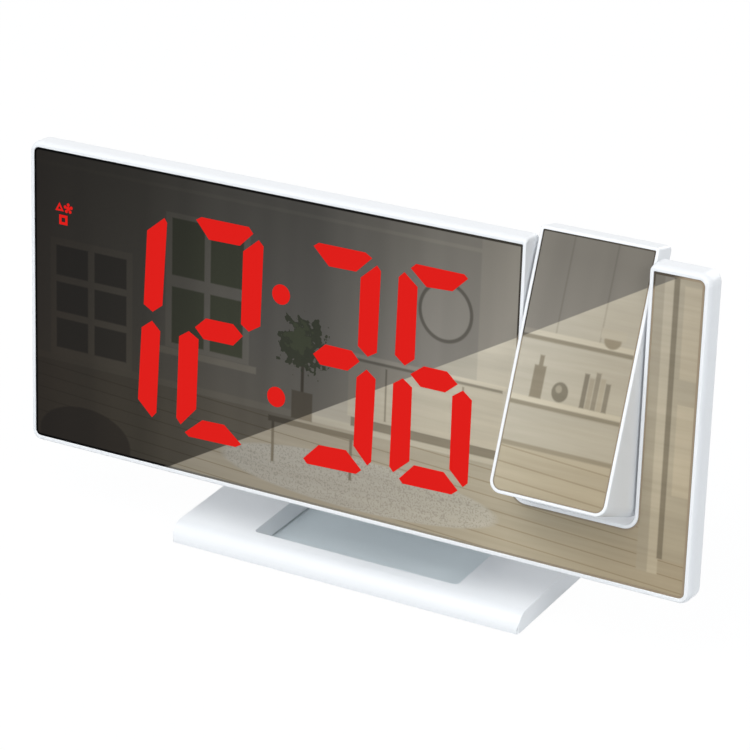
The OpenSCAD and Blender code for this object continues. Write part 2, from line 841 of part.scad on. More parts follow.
// ---------- fasteners ----------
// A pan-head screw whose head lies behind depth y and whose shank runs forward
module screw_forward(x, h, y, long) {
  peg(x, h, screw_head_d / 2, y, y + screw_head_t);
  peg(x, h, screw_d / 2, y - long, y + eps);
}

module screw_back(x, h, y, long) {
  peg(x, h, screw_head_d / 2, y - screw_head_t, y);
  peg(x, h, screw_d / 2, y - eps, y + long);
}

module case_screws() {
  color(steel) in_body() for (x = screw_x, h = screw_h)
    screw_forward(x, h, band_depth, band_depth - tray_back + 0.7);
}

module board_screws() {
  color(steel) in_body() {
    for (x = board_post_x, h = board_post_h) screw_forward(x, h, board_back, board_screw_len);
    for (x = key_post_x, h = key_post_h) screw_back(x, h, key_board_back - board_t, board_screw_len);
    for (h = power_post_h) screw_back(power_post_x, h, power_board_back - board_t, board_screw_len);
  }
}

// ---------- arm pivot ----------
module pivot_pins() {
  inner = arm_gap + pin_in_arm;
  color(steel) in_body() for (s = [0, 1]) translate([s * 2 * arm_x, 0, 0]) mirror([s, 0, 0]) {
    axle(bay_left - boss_len - eps, bay_left + inner, pivot_dep, pivot_h, pivot_d / 2);
    axle(bay_left - boss_len - 0.8, bay_left - boss_len, pivot_dep, pivot_h, pivot_d / 2 + 1);
  }
}

module pivot_washers() {
  color(rubber_grey) in_body() for (s = [0, 1]) translate([s * 2 * arm_x, 0, 0]) mirror([s, 0, 0]) {
    washer(bay_left + 0.05, bay_left + arm_gap - 0.05, pivot_dep, pivot_h, pivot_d / 2);
  }
}

module washer(x0, x1, y, z, r) {
  difference() {
    axle(x0, x1, y, z, r + 1.5);
    axle(x0 - over, x1 + over, y, z, r + 0.15);
  }
}

// ---------- projector arm ----------
// The arm's outline seen from the front, inset by i, up to the height given
module arm_outline(i, top, r_top) {
  half = arm_w / 2 - i;
  plate(arm_x - half, arm_x + half, arm_bottom + i, top, max(arm_corner_r - i, 0.5), r_top);
}

module arm_mirror_seat(y0, y1, gap) {
  i = arm_rim + gap;
  from_front(y0, y1) arm_outline(i, arm_top - i, 0.4);
}

module arm_frame() {
  back_top = arm_top + arm_top_rise;
  sides = [arm_x - arm_w / 2, arm_x + arm_w / 2];
  color(shell_white) in_arm() difference() {
    intersection() {
      from_front(0, arm_band) arm_outline(0, back_top, 0.8);
      soft_block(sides, [0, arm_band], [arm_bottom, back_top], 0.8, 0.5, 0.5);
      from_side(arm_x, arm_w + over)
        polygon([[0, arm_bottom], [arm_band, arm_bottom], [arm_band, back_top], [0, arm_top]]);
    }
    arm_mirror_seat(-over, mirror_back, 0);
    from_front(tray_back, arm_band + over) arm_outline(arm_wall, housing_top - arm_wall, 1);
  }
}

module arm_mirror() {
  color(mirror_grey) in_arm() arm_mirror_seat(mirror_sink, mirror_back, seat_fit);
}

// The housing behind the arm's band, inset by i, its back corners rounded
module housing_form(i, y0) {
  r = housing_edge_r - i;
  intersection() {
    from_front(y0, arm_depth - i) arm_outline(i, housing_top - i, max(2 - i, 0.5));
    from_side(arm_x, arm_w + over) {
      tall = housing_top - arm_bottom - 2 * i;
      translate([y0, arm_bottom + i]) square([arm_depth - i - r - y0, tall]);
      translate([y0, arm_bottom + i + r]) square([arm_depth - i - y0, tall - 2 * r]);
      for (h = [arm_bottom + i + r, housing_top - i - r]) translate([arm_depth - i - r, h]) circle(r);
    }
    translate([0, 0, arm_bottom - over]) linear_extrude(arm_len + over)
      plate(arm_x - arm_w / 2 + i, arm_x + arm_w / 2 - i, y0 - over, arm_depth - i, 0.2, max(3 - i, 0.8));
  }
}

module arm_housing() {
  color(shell_white) in_arm() difference() {
    union() {
      difference() {
        housing_form(0, arm_band);
        housing_form(arm_wall, arm_band - over);
      }
      for (s = [0, 1]) translate([s * 2 * arm_x, 0, 0]) mirror([s, 0, 0]) {
        axle(arm_x - arm_w / 2 + 0.4, arm_x - arm_w / 2 + pin_in_arm + 0.3, pivot_dep, pivot_h,
          min(pivot_d / 2 + 1.4, boss_r));
        lamp_shelf();
      }
    }
    axle(arm_x - arm_w, arm_x + arm_w, pivot_dep, pivot_h, pivot_d / 2 + run_fit);
    lens_axis(tube_out + 0.05, housing_top - housing_edge_r, housing_top + over);
    from_front(arm_depth - arm_wall - over, arm_depth + over) vent_row();
  }
}

// Shelf on the inside of a cheek that carries one end of the lamp board
module lamp_shelf() {
  x = arm_x - arm_w / 2 + arm_wall;
  block([x - 0.2, x + 2.4], [arm_band + 1, arm_depth - arm_wall + 0.2], [lamp_board_h - 1.4, lamp_board_h]);
}

module vent_row() {
  for (k = [-2 : 2]) translate([arm_x + 4 * k, arm_bottom + 16]) rotate(90) pill(9, 1.5);
}

// A turned piece on the lens axis, from height h0 to h1
module lens_axis(r, h0, h1) {
  translate([arm_x, lens_dep, h0]) cylinder(r = r, h = h1 - h0);
}

module lamp_board() {
  y = [arm_band + 1.2, arm_depth - arm_wall - 0.6];
  w = arm_w / 2 - arm_wall - 0.3;
  color(board_green) in_arm() block([arm_x - w, arm_x + w], y, [lamp_board_h, lamp_board_h + lamp_board_t]);
}

module projector_lamp() {
  color([0.95, 0.5, 0.2]) in_arm() {
    lens_axis(2.8, tube_bottom, tube_bottom + 1);
    lens_axis(2.5, tube_bottom + 1 - eps, tube_bottom + 4.5);
    intersection() {
      translate([arm_x, lens_dep, tube_bottom + 4.5]) sphere(2.5);
      lens_axis(3, tube_bottom + 4, tube_bottom + 8);
    }
  }
}

// The tube that holds condenser and slide on its ledges and guides the barrel
module optics_tube() {
  ledge = tube_in - 0.8;
  color(dark_grey) in_arm() difference() {
    lens_axis(tube_out, tube_bottom, housing_top);
    lens_axis(tube_in, tube_bottom - over, condenser_h - 1);
    lens_axis(ledge, condenser_h - 1 - eps, condenser_h + eps);
    lens_axis(tube_in, condenser_h, slide_h - 1);
    lens_axis(ledge, slide_h - 1 - eps, slide_h + eps);
    lens_axis(tube_in, slide_h, housing_top + over);
  }
}

module condenser_lens() {
  color(glass_blue) in_arm() translate([arm_x, lens_dep, condenser_h]) intersection() {
    cylinder(r = tube_in - 0.1, h = 3);
    translate([0, 0, -4.2]) sphere(7, $fn = 96);
  }
}

module time_slide() {
  color(glass_blue) in_arm() lens_axis(tube_in - 0.1, slide_h, slide_h + 1.4);
}

module lens_barrel() {
  color(dark_grey) in_arm() difference() {
    lens_axis(barrel_d / 2, barrel_top - barrel_len, barrel_top);
    lens_axis(barrel_d / 2 - barrel_wall - 0.7, barrel_top - barrel_len - over, barrel_top + over);
    lens_axis(barrel_d / 2 - barrel_wall, barrel_top - 3.2, barrel_top + over);
    lens_axis(barrel_d / 2 - barrel_wall, barrel_top - barrel_len - over, barrel_top - 5);
  }
}

module projection_lens() {
  r = barrel_d / 2 - barrel_wall - 0.05;
  color(glass_blue) in_arm() translate([arm_x, lens_dep, barrel_top - 3.2]) intersection() {
    cylinder(r = r, h = 2.6);
    translate([0, 0, 2.6 - 7]) sphere(7, $fn = 96);
  }
}

module focus_ring() {
  color(dark_grey) in_arm() difference() {
    union() {
      lens_axis(ring_d / 2, ring_bottom, ring_bottom + ring_h - 0.6);
      lens_axis(ring_d / 2 - 0.6, ring_bottom, ring_bottom + ring_h);
    }
    lens_axis(barrel_d / 2 + 0.1, ring_bottom - over, ring_bottom + ring_h + over);
    for (k = [0 : ring_flutes - 1]) {
      translate([arm_x, lens_dep, ring_bottom - over]) rotate(k * 360 / ring_flutes)
        translate([ring_d / 2 + 0.25, 0, 0]) cylinder(r = 0.6, h = ring_h + 2 * over, $fn = 16);
    }
  }
}

// ---------- stand ----------
// Side view of the stand: a plate with a rounded nose, a bend, a riser and its knuckle
module stand_section() {
  top = foot_out + stand_t;
  polygon([[stand_front, foot_out], [bend_y, foot_out], [bend_y + eps, foot_out + riser_t],
    [stand_front + nose_r, top], [stand_front + nose_r, top - nose_r], [stand_front, top - nose_r]]);
  intersection() {
    translate([stand_front + nose_r, top - nose_r]) circle(nose_r);
    translate([stand_front, foot_out]) square([2 * nose_r, stand_t]);
  }
  translate([bend_y, bend_z]) {
    intersection() {
      difference() {
        circle(bend_r);
        circle(bend_r - riser_t);
      }
      polygon(concat([[0, 0]], [for (k = [0 : 4]) turn(2 * bend_r, -90 + k * (bend_end + 90) / 4)]));
    }
    rotate(bend_end) translate([bend_mid - riser_t / 2, -eps]) square([riser_t, riser_len]);
  }
  translate([hinge_y, hinge_z]) circle(hinge_r);
}

function turn(r, a) = [r * cos(a), r * sin(a)];

// Back view of the stand: full width below, then drawn in to the knuckle by two round shoulders
module stand_back_view() {
  middle = [knuckle_w / 2 + shoulder_r, shoulder_z + shoulder_r];
  shoulder = [for (a = [270 : -5 : 180]) middle + turn(shoulder_r, a)];
  right = concat([[stand_w / 2, -over], [stand_w / 2, shoulder_z]], shoulder,
    [[knuckle_w / 2, hinge_z + 2 * lug_r]]);
  left = [for (k = [len(right) - 1 : -1 : 0]) [-right[k][0], right[k][1]]];
  polygon(concat(right, left));
}

module stand() {
  back = stand_front + stand_depth;
  color(shell_white) difference() {
    intersection() {
      from_side(0, stand_w) stand_section();
      from_front(stand_front - over, back + over) stand_back_view();
      linear_extrude(hinge_z + 2 * lug_r) plate(-stand_w / 2, stand_w / 2, stand_front, back + 5, stand_corner_r, 3);
    }
    translate([0, 0, -over]) linear_extrude(bend_z)
      plate(-window_w / 2, window_w / 2, -stand_front, bend_y - 5, 1.2, 1.2);
    axle(-knuckle_w, knuckle_w, hinge_y, hinge_z, hinge_d / 2 + run_fit);
    strip_seats(0);
  }
}

module strip_seats(gap) {
  for (y = [0, bend_y - strip_w / 2 + 1]) {
    w = stand_w / 2 - 7 - gap;
    d = strip_w / 2 - gap;
    linear_extrude(2 * foot_out) plate(-w, w, y - d, y + d, 1, 1);
  }
}

module rubber_strips() {
  color(rubber_grey) strip_seats(seat_fit);
}

module hinge_pin() {
  x = knuckle_w / 2 + lug_gap + lug_w;
  color(steel) in_body() in_lugs() {
    axle(-x - eps, x + 1.5, 0, 0, hinge_d / 2);
    axle(-x - 1.2, -x, 0, 0, hinge_d / 2 + 1.3);
  }
}

module hinge_clip() {
  x = knuckle_w / 2 + lug_gap + lug_w + 0.05;
  color(steel) in_body() in_lugs() difference() {
    axle(x, x + 0.8, 0, 0, hinge_d / 2 + 1.4);
    axle(x - over, x + over, 0, 0, hinge_d / 2 + 0.02);
  }
}

module hinge_washers() {
  x = knuckle_w / 2;
  color(rubber_grey) in_body() in_lugs() for (s = [0, 1]) mirror([s, 0, 0])
    washer(x + 0.05, x + lug_gap - 0.05, 0, 0, hinge_d / 2);
}

// ---------- assembly ----------

stand();
rubber_strips();
hinge_pin();
hinge_clip();
hinge_washers();
front_frame();
mirror_panel();
rear_cover();
case_screws();
board_screws();
display_reflector();
lit_segments();
dark_segments();
indicator_light();
display_leds();
main_board();
controller_chips();
key_board();
tact_switches();
power_board();
usb_port();
power_inlet();
speaker_basket();
speaker_cone();
coin_cell();
battery_contacts();
battery_door();
snooze_button();
mode_button();
set_button();
up_button();
down_button();
light_button();
pivot_pins();
pivot_washers();
arm_frame();
arm_mirror();
arm_housing();
lamp_board();
projector_lamp();
optics_tube();
condenser_lens();
time_slide();
lens_barrel();
projection_lens();
focus_ring();
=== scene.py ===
import json
import math

import bmesh
import bpy
import numpy as np
from mathutils import Matrix, Vector

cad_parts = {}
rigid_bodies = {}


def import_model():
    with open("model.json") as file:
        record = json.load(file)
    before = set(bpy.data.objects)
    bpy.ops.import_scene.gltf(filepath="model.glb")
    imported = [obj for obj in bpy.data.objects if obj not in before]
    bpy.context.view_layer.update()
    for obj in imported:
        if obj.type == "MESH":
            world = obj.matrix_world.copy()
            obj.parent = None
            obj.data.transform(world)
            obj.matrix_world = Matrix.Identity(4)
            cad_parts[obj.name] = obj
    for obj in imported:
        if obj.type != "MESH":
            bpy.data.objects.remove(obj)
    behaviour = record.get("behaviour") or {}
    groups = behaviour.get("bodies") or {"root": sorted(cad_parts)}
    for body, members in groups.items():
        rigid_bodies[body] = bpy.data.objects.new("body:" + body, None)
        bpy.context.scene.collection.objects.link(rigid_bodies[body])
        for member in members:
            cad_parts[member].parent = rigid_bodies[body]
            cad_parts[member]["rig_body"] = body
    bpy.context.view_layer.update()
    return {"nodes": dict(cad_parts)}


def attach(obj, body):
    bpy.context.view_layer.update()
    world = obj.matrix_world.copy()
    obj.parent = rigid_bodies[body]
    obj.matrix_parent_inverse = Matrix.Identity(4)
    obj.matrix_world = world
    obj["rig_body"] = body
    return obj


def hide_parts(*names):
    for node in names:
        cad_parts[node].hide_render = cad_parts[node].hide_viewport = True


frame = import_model()
nodes = frame["nodes"]
print("frame loaded:", len(nodes), "nodes")

# Lengths in the dictionaries are in millimetres and angles in degrees, unless a note says otherwise.
mm = 0.001

# The body leans back by tilt about its lower front edge, which is lift above the table.
body = {
    "faceY": -2.1, "lift": 19.0, "tilt": 6.0,
    "width": 188.0, "height": 80.0, "band": 6.6, "corner": 3.0,
}
bay = {"left": 47.4, "right": 78.9, "corner": 3.0}
arm = {
    "x": 63.15, "width": 30.3, "top": 79.8, "bottom": 17.3,
    "pivotDepth": 10.0, "pivotHeight": 63.8, "open": 19.0, "reach": 48.56,
}


def toFrame(x, depth, height, inArm=False):
    # Body coordinates to the part's frame in metres: turn by tilt about X, then lift. Points of the arm are
    # first swung by open about the pivot.
    x, depth, height = np.broadcast_arrays(*(np.asarray(v, float) for v in (x, depth, height)))
    if inArm:
        a = math.radians(arm["open"])
        d, h = depth - arm["pivotDepth"], height - arm["pivotHeight"]
        depth = arm["pivotDepth"] + d * math.cos(a) + h * math.sin(a)
        height = arm["pivotHeight"] - d * math.sin(a) + h * math.cos(a)
    t = math.radians(body["tilt"])
    y = body["faceY"] + depth * math.cos(t) + height * math.sin(t)
    z = body["lift"] - depth * math.sin(t) + height * math.cos(t)
    return np.stack([x, y, z], axis=-1) * mm


# Noise in cells for each metre, bump depths in metres, and the part of a noise that carries its change.
texture = {
    "cloud": 26, "grain": 2600, "grainDepth": 0.00005,
    "brush": 2600, "brushStretch": (0.05, 1, 1), "brushDepth": 0.00002, "brushBump": 0.02,
    "glowCloud": 60, "haze": 300, "low": 0.3, "high": 0.7,
}


def newMaterial(name):
    mat = bpy.data.materials.new(name)
    mat.use_nodes = True
    tree = mat.node_tree
    tree.nodes.clear()
    out = tree.nodes.new("ShaderNodeOutputMaterial")
    shader = tree.nodes.new("ShaderNodeBsdfPrincipled")
    tree.links.new(shader.outputs["BSDF"], out.inputs["Surface"])
    coords = tree.nodes.new("ShaderNodeTexCoord")
    return mat, tree, shader, coords.outputs["Object"]


def addNoise(tree, coords, scale, detail, stretch=(1, 1, 1)):
    mapping = tree.nodes.new("ShaderNodeMapping")
    mapping.inputs["Scale"].default_value = stretch
    tree.links.new(coords, mapping.inputs["Vector"])
    noise = tree.nodes.new("ShaderNodeTexNoise")
    noise.inputs["Scale"].default_value = scale
    noise.inputs["Detail"].default_value = detail
    tree.links.new(mapping.outputs["Vector"], noise.inputs["Vector"])
    return noise.outputs["Fac"]


def addRamp(tree, value, stops):
    ramp = tree.nodes.new("ShaderNodeValToRGB")
    els = ramp.color_ramp.elements
    while len(els) < len(stops):
        els.new(0.5)
    for el, (pos, colour) in zip(els, stops):
        el.position = pos
        el.color = (*colour, 1)
    tree.links.new(value, ramp.inputs["Fac"])
    return ramp.outputs["Color"]


def addSpread(tree, noise, low, high):
    # The middle part of a noise runs from low to high; a plain number stands for a grey.
    low, high = (v if isinstance(v, tuple) else (v,) * 3 for v in (low, high))
    return addRamp(tree, noise, [(texture["low"], low), (texture["high"], high)])


def addBump(tree, shader, height, strength, distance):
    bump = tree.nodes.new("ShaderNodeBump")
    bump.inputs["Strength"].default_value = strength
    bump.inputs["Distance"].default_value = distance
    tree.links.new(height, bump.inputs["Height"])
    tree.links.new(bump.outputs["Normal"], shader.inputs["Normal"])


def mathNode(tree, operation, a, b=None, c=None, clamp=False):
    node = tree.nodes.new("ShaderNodeMath")
    node.operation = operation
    node.use_clamp = clamp
    for socket, value in zip(node.inputs, (a, b, c)):
        if value is None:
            continue
        if isinstance(value, (int, float)):
            socket.default_value = value
        else:
            tree.links.new(value, socket)
    return node.outputs[0]


def mixColour(tree, factor, a, b, blend="MIX"):
    node = tree.nodes.new("ShaderNodeMix")
    node.data_type = "RGBA"
    node.blend_type = blend
    for socket, value in ((node.inputs[0], factor), (node.inputs[6], a), (node.inputs[7], b)):
        if isinstance(value, tuple):
            socket.default_value = (*value, 1)
        elif isinstance(value, (int, float)):
            socket.default_value = value
        else:
            tree.links.new(value, socket)
    return node.outputs[2]


def multiplied(tree, tone, *others):
    for other in others:
        tone = mixColour(tree, 1.0, tone, other, "MULTIPLY")
    return tone


def darker(colour, share):
    return tuple(c * share for c in colour)


def mouldedPlastic(name, colour, spread, roughness, coat, grain=0.02, roughSpread=0.05):
    # Colour wanders a little between two near tones; a fine grain lies in roughness and bump.
    mat, tree, shader, coords = newMaterial(name)
    cloud = addNoise(tree, coords, texture["cloud"], 2)
    tree.links.new(addSpread(tree, cloud, darker(colour, 1 - spread), colour), shader.inputs["Base Color"])
    fine = addNoise(tree, coords, texture["grain"], 2)
    rough = addSpread(tree, fine, roughness - roughSpread, roughness + roughSpread)
    tree.links.new(rough, shader.inputs["Roughness"])
    addBump(tree, shader, fine, grain, texture["grainDepth"])
    shader.inputs["IOR"].default_value = 1.5
    shader.inputs["Coat Weight"].default_value = coat
    shader.inputs["Coat Roughness"].default_value = 0.12
    return mat


def brushedMetal(name, colour, roughness):
    # Fine brush lines that run across the width.
    mat, tree, shader, coords = newMaterial(name)
    streak = addNoise(tree, coords, texture["brush"], 2, texture["brushStretch"])
    tree.links.new(addSpread(tree, streak, darker(colour, 0.93), colour), shader.inputs["Base Color"])
    tree.links.new(addSpread(tree, streak, roughness, roughness + 0.07), shader.inputs["Roughness"])
    shader.inputs["Metallic"].default_value = 1.0
    addBump(tree, shader, streak, texture["brushBump"], texture["brushDepth"])
    return mat


def glowing(name, colour, glow, strength):
    mat, tree, shader, coords = newMaterial(name)
    cloud = addNoise(tree, coords, texture["glowCloud"], 1)
    tree.links.new(addSpread(tree, cloud, darker(colour, 0.97), colour), shader.inputs["Base Color"])
    shader.inputs["Roughness"].default_value = 0.5
    shader.inputs["Specular IOR Level"].default_value = 0.05
    shader.inputs["Emission Color"].default_value = (*glow, 1)
    shader.inputs["Emission Strength"].default_value = strength
    return mat


def clearGlass(name, colour, roughness):
    mat, tree, shader, coords = newMaterial(name)
    haze = addNoise(tree, coords, texture["haze"], 2)
    tree.links.new(addSpread(tree, haze, roughness, roughness + 0.03), shader.inputs["Roughness"])
    tree.links.new(addSpread(tree, haze, darker(colour, 0.97), colour), shader.inputs["Base Color"])
    shader.inputs["Transmission Weight"].default_value = 0.9
    shader.inputs["IOR"].default_value = 1.49
    return mat


shellWhite = mouldedPlastic("shellWhite", (0.88, 0.895, 0.91), 0.012, 0.32, 0.2, 0.004, 0.02)
darkPlastic = mouldedPlastic("darkPlastic", (0.035, 0.035, 0.038), 0.2, 0.45, 0.1)
rubberGrey = mouldedPlastic("rubberGrey", (0.12, 0.12, 0.125), 0.2, 0.8, 0.0, 0.08)
boardGreen = mouldedPlastic("boardGreen", (0.02, 0.12, 0.05), 0.25, 0.35, 0.3)
steelMetal = brushedMetal("steelMetal", (0.62, 0.63, 0.65), 0.25)
chipBlack = mouldedPlastic("chipBlack", (0.02, 0.02, 0.022), 0.1, 0.5, 0.0)
inkGrey = mouldedPlastic("inkGrey", (0.19, 0.20, 0.215), 0.06, 0.5, 0.0)
keyWhite = mouldedPlastic("keyWhite", (0.84, 0.855, 0.87), 0.015, 0.4, 0.1, 0.01, 0.03)
coneGrey = mouldedPlastic("coneGrey", (0.05, 0.05, 0.055), 0.25, 0.7, 0.0, 0.1)
socketBlack = mouldedPlastic("socketBlack", (0.018, 0.018, 0.02), 0.15, 0.4, 0.1)
contactBrass = brushedMetal("contactBrass", (0.75, 0.58, 0.28), 0.22)
ledCream = mouldedPlastic("ledCream", (0.82, 0.74, 0.48), 0.08, 0.3, 0.4)
litRed = glowing("litRed", (0.04, 0.001, 0.001), (0.69, 0.009, 0.006), 1.0)
lensClear = clearGlass("lensClear", (0.93, 0.96, 0.98), 0.02)
lampGlow = glowing("lampGlow", (0.8, 0.25, 0.06), (1.0, 0.22, 0.03), 1.6)

# A painted reflection of a plain room on the two mirrors, in the part's frame: kind, middle x and z, half
# width, half height and tone, each laid over the ones before it.
reflectedRoomForms = {
    "soft": 0.4, "boardWidth": 3.3, "boardFall": 0.05, "boardShare": 0.9,
    "leafNoise": 560, "leafReach": 1.9, "leafShift": -0.7, "dotNoise": 2100, "dotContrast": 7.0,
    "wallForms": [
        ("box", 0, 93.6, 100, 0.45, (1.14, 1.14, 1.12)),                # ceiling edge
        ("box", 0, 31, 100, 11, (0.93, 0.90, 0.85)),                    # floor and the joints of its boards
        ("boards", 0, 31, 100, 11, (0.74, 0.69, 0.6)),
        ("box", 0, 42.9, 100, 0.9, (1.16, 1.15, 1.12)),                 # skirting board
        ("box", -75, 59, 12.6, 15.6, (1.22, 1.2, 1.17)),                # bookcase
        ("box", -40, 70, 12.4, 17.4, (1.34, 1.34, 1.32)),               # window
        ("box", -40, 51.6, 14.6, 0.9, (1.5, 1.48, 1.42)),               # its sill
        ("box", 41, 80, 5.0, 36, (1.16, 1.15, 1.13)),                   # curtain
        ("round", 27, 77, 7.6, 7.8, (0.5, 0.49, 0.47)),                 # round mirror
        ("round", 27, 77, 6.7, 6.9, (1.14, 1.14, 1.14)),
        ("box", 22, 44.6, 20, 1.2, (0.55, 0.52, 0.47)),                 # shadow under the sideboard
        ("box", 22, 53.4, 21, 7.6, (1.16, 1.14, 1.1)),                  # sideboard
        ("box", 22, 61.4, 22, 0.55, (1.3, 1.28, 1.24)),
        ("box", 22, 60.5, 21, 0.35, (0.62, 0.6, 0.56)),
        ("box", -12, 52, 0.45, 5.5, (0.4, 0.36, 0.3)),                  # small tree in a pot
        ("box", -12, 45.4, 3.0, 3.6, (0.62, 0.57, 0.5)),
        ("leaves", -12, 61, 8.2, 8.8, (0.34, 0.4, 0.28)),
        ("leaves", -13, 62.4, 4.6, 4.8, (0.46, 0.56, 0.36)),
        ("round", -77, 22.5, 14.5, 8.5, (0.46, 0.41, 0.37)),            # round stool
        ("box", 81.4, 65, 1.5, 40, (0.93, 0.92, 0.90)),                 # door frame at the right
        ("box", 84.0, 65, 1.3, 40, (1.14, 1.13, 1.11)),
        ("box", 85.8, 67, 0.8, 38, (0.55, 0.53, 0.49)),                 # gap, leaf and panels of the door
        ("box", 91.3, 67, 4.9, 38, (0.98, 0.97, 0.94)),
        ("box", 90.1, 84, 2.4, 11, (1.14, 1.11, 1.06)),
        ("box", 90.1, 56, 2.4, 11, (1.14, 1.11, 1.06)),
        ("round", 4, 28.5, 40, 6.8, (1.05, 1.08, 1.14)),                # rug
        ("speckle", 4, 28.5, 40, 6.8, (0.83, 0.84, 0.88)),
        ("box", -20.2, 34.6, 0.4, 5.4, (0.5, 0.46, 0.4)),               # low table
        ("box", 2.2, 34.6, 0.4, 5.4, (0.5, 0.46, 0.4)),
        ("box", -9, 40.4, 12.6, 0.75, (0.5, 0.46, 0.4)),
    ],
    "armForms": [
        ("box", 63, 48, 15, 6, (0.95, 0.91, 0.84)),                     # floor
        ("boards", 63, 48, 15, 6, (0.76, 0.71, 0.62)),
        ("box", 63, 54.3, 15, 0.5, (0.66, 0.63, 0.57)),
        ("box", 57.2, 92, 0.18, 14, (0.8, 0.8, 0.79)),                  # joints of the wall boards
        ("box", 68.4, 92, 0.18, 14, (0.8, 0.8, 0.79)),
        ("box", 63, 78.0, 15, 0.6, (1.2, 1.19, 1.16)),                  # upper shelf
        ("box", 63, 77.0, 15, 0.45, (0.6, 0.58, 0.53)),
        ("box", 63, 64.0, 15, 0.6, (1.2, 1.19, 1.16)),                  # lower shelf
        ("box", 63, 63.0, 15, 0.45, (0.6, 0.58, 0.53)),
        ("round", 71.5, 79.4, 2.4, 1.9, (0.66, 0.62, 0.55)),            # bowl
        ("box", 71.5, 80.7, 3.2, 1.0, (1.02, 1.01, 0.99)),
        ("box", 55.0, 68.0, 1.5, 3.4, (0.55, 0.52, 0.47)),              # bottle
        ("box", 55.0, 72.2, 0.55, 1.4, (0.55, 0.52, 0.47)),
        ("round", 61.0, 66.8, 2.3, 2.3, (0.46, 0.45, 0.42)),            # ball vase
        ("round", 60.6, 67.4, 1.0, 1.0, (0.75, 0.74, 0.71)),
    ],
}
for column in (-80.9, -69.1):                                           # niches of the bookcase
    for row in (49.6, 59.2, 68.8):
        reflectedRoomForms["wallForms"].append(("box", column, row, 4.9, 3.9, (0.42, 0.4, 0.37)))
for column in (-45.7, -34.3):                                           # panes of the window
    for row in (61.2, 78.8):
        reflectedRoomForms["wallForms"].append(("box", column, row, 4.8, 7.3, (0.5, 0.58, 0.4)))
for column in (11.5, 32.5):                                             # gaps between the sideboard's doors
    reflectedRoomForms["wallForms"].append(("box", column, 53, 0.22, 6.6, (0.6, 0.57, 0.52)))
for k, (high, tone) in enumerate(((3.6, 0.5), (3.2, 0.8), (3.9, 0.62), (3.4, 0.9), (3.0, 0.55))):    # books
    cover = (tone, tone * 0.97, tone * 0.92)
    reflectedRoomForms["armForms"].append(("box", 67.0 + 1.4 * k, 64.6 + high, 0.6, high, cover))


def vectorNode(tree, operation, a, b=None):
    node = tree.nodes.new("ShaderNodeVectorMath")
    node.operation = operation
    tree.links.new(a, node.inputs[0])
    if b:
        node.inputs[1].default_value = b
    return node.outputs["Value" if operation == "LENGTH" else "Vector"]


def layForms(tree, coords, x, z, forms):
    # A box is the greater of the two distances from its middle less the half sides, a round is the distance
    # over the half sides; the share of its tone runs from nought to one over the soft border. Boards are a
    # box seen only along level lines that fall a little to the right, speckle is a round broken up by fine
    # noise, and leaves are a round whose distance wanders with a coarser noise.
    slanted = mathNode(tree, "MULTIPLY_ADD", x, reflectedRoomForms["boardFall"], z)
    joints = mathNode(tree, "FRACT", mathNode(tree, "MULTIPLY", slanted, 1 / (reflectedRoomForms["boardWidth"] * mm)))
    boards = mathNode(tree, "GREATER_THAN", joints, reflectedRoomForms["boardShare"])
    leafEdge = addNoise(tree, coords, reflectedRoomForms["leafNoise"], 2)
    ragged = mathNode(tree, "MULTIPLY_ADD", leafEdge, reflectedRoomForms["leafReach"], reflectedRoomForms["leafShift"])
    dots = mathNode(tree, "SUBTRACT", addNoise(tree, coords, reflectedRoomForms["dotNoise"], 1), 0.5)
    speckle = mathNode(tree, "MULTIPLY", dots, reflectedRoomForms["dotContrast"], clamp=True)
    flat = tree.nodes.new("ShaderNodeCombineXYZ")
    tree.links.new(x, flat.inputs[0])
    tree.links.new(z, flat.inputs[1])
    tone = (1.0, 1.0, 1.0)
    for kind, midX, midZ, halfX, halfZ, shade in forms:
        away = vectorNode(tree, "SUBTRACT", flat.outputs[0], (midX * mm, midZ * mm, 0))
        square = kind in ("box", "boards")
        if square:
            away = vectorNode(tree, "ABSOLUTE", away)
            past = vectorNode(tree, "SUBTRACT", away, (halfX * mm, halfZ * mm, 0))
            parted = tree.nodes.new("ShaderNodeSeparateXYZ")
            tree.links.new(past, parted.inputs[0])
            depth = mathNode(tree, "MAXIMUM", parted.outputs[0], parted.outputs[1])
            share = mathNode(tree, "MULTIPLY_ADD", depth, -1 / (reflectedRoomForms["soft"] * mm), 0.5, clamp=True)
        else:
            scaled = vectorNode(tree, "DIVIDE", away, (halfX * mm, halfZ * mm, 1))
            distance = vectorNode(tree, "LENGTH", scaled)
            if kind == "leaves":
                distance = mathNode(tree, "ADD", distance, ragged)
            steep = min(halfX, halfZ) / reflectedRoomForms["soft"]
            share = mathNode(tree, "MULTIPLY_ADD", distance, -steep, steep, clamp=True)
        if kind in ("boards", "speckle"):
            share = mathNode(tree, "MULTIPLY", share, boards if square else speckle)
        tone = mixColour(tree, share, tone, shade)
    return tone
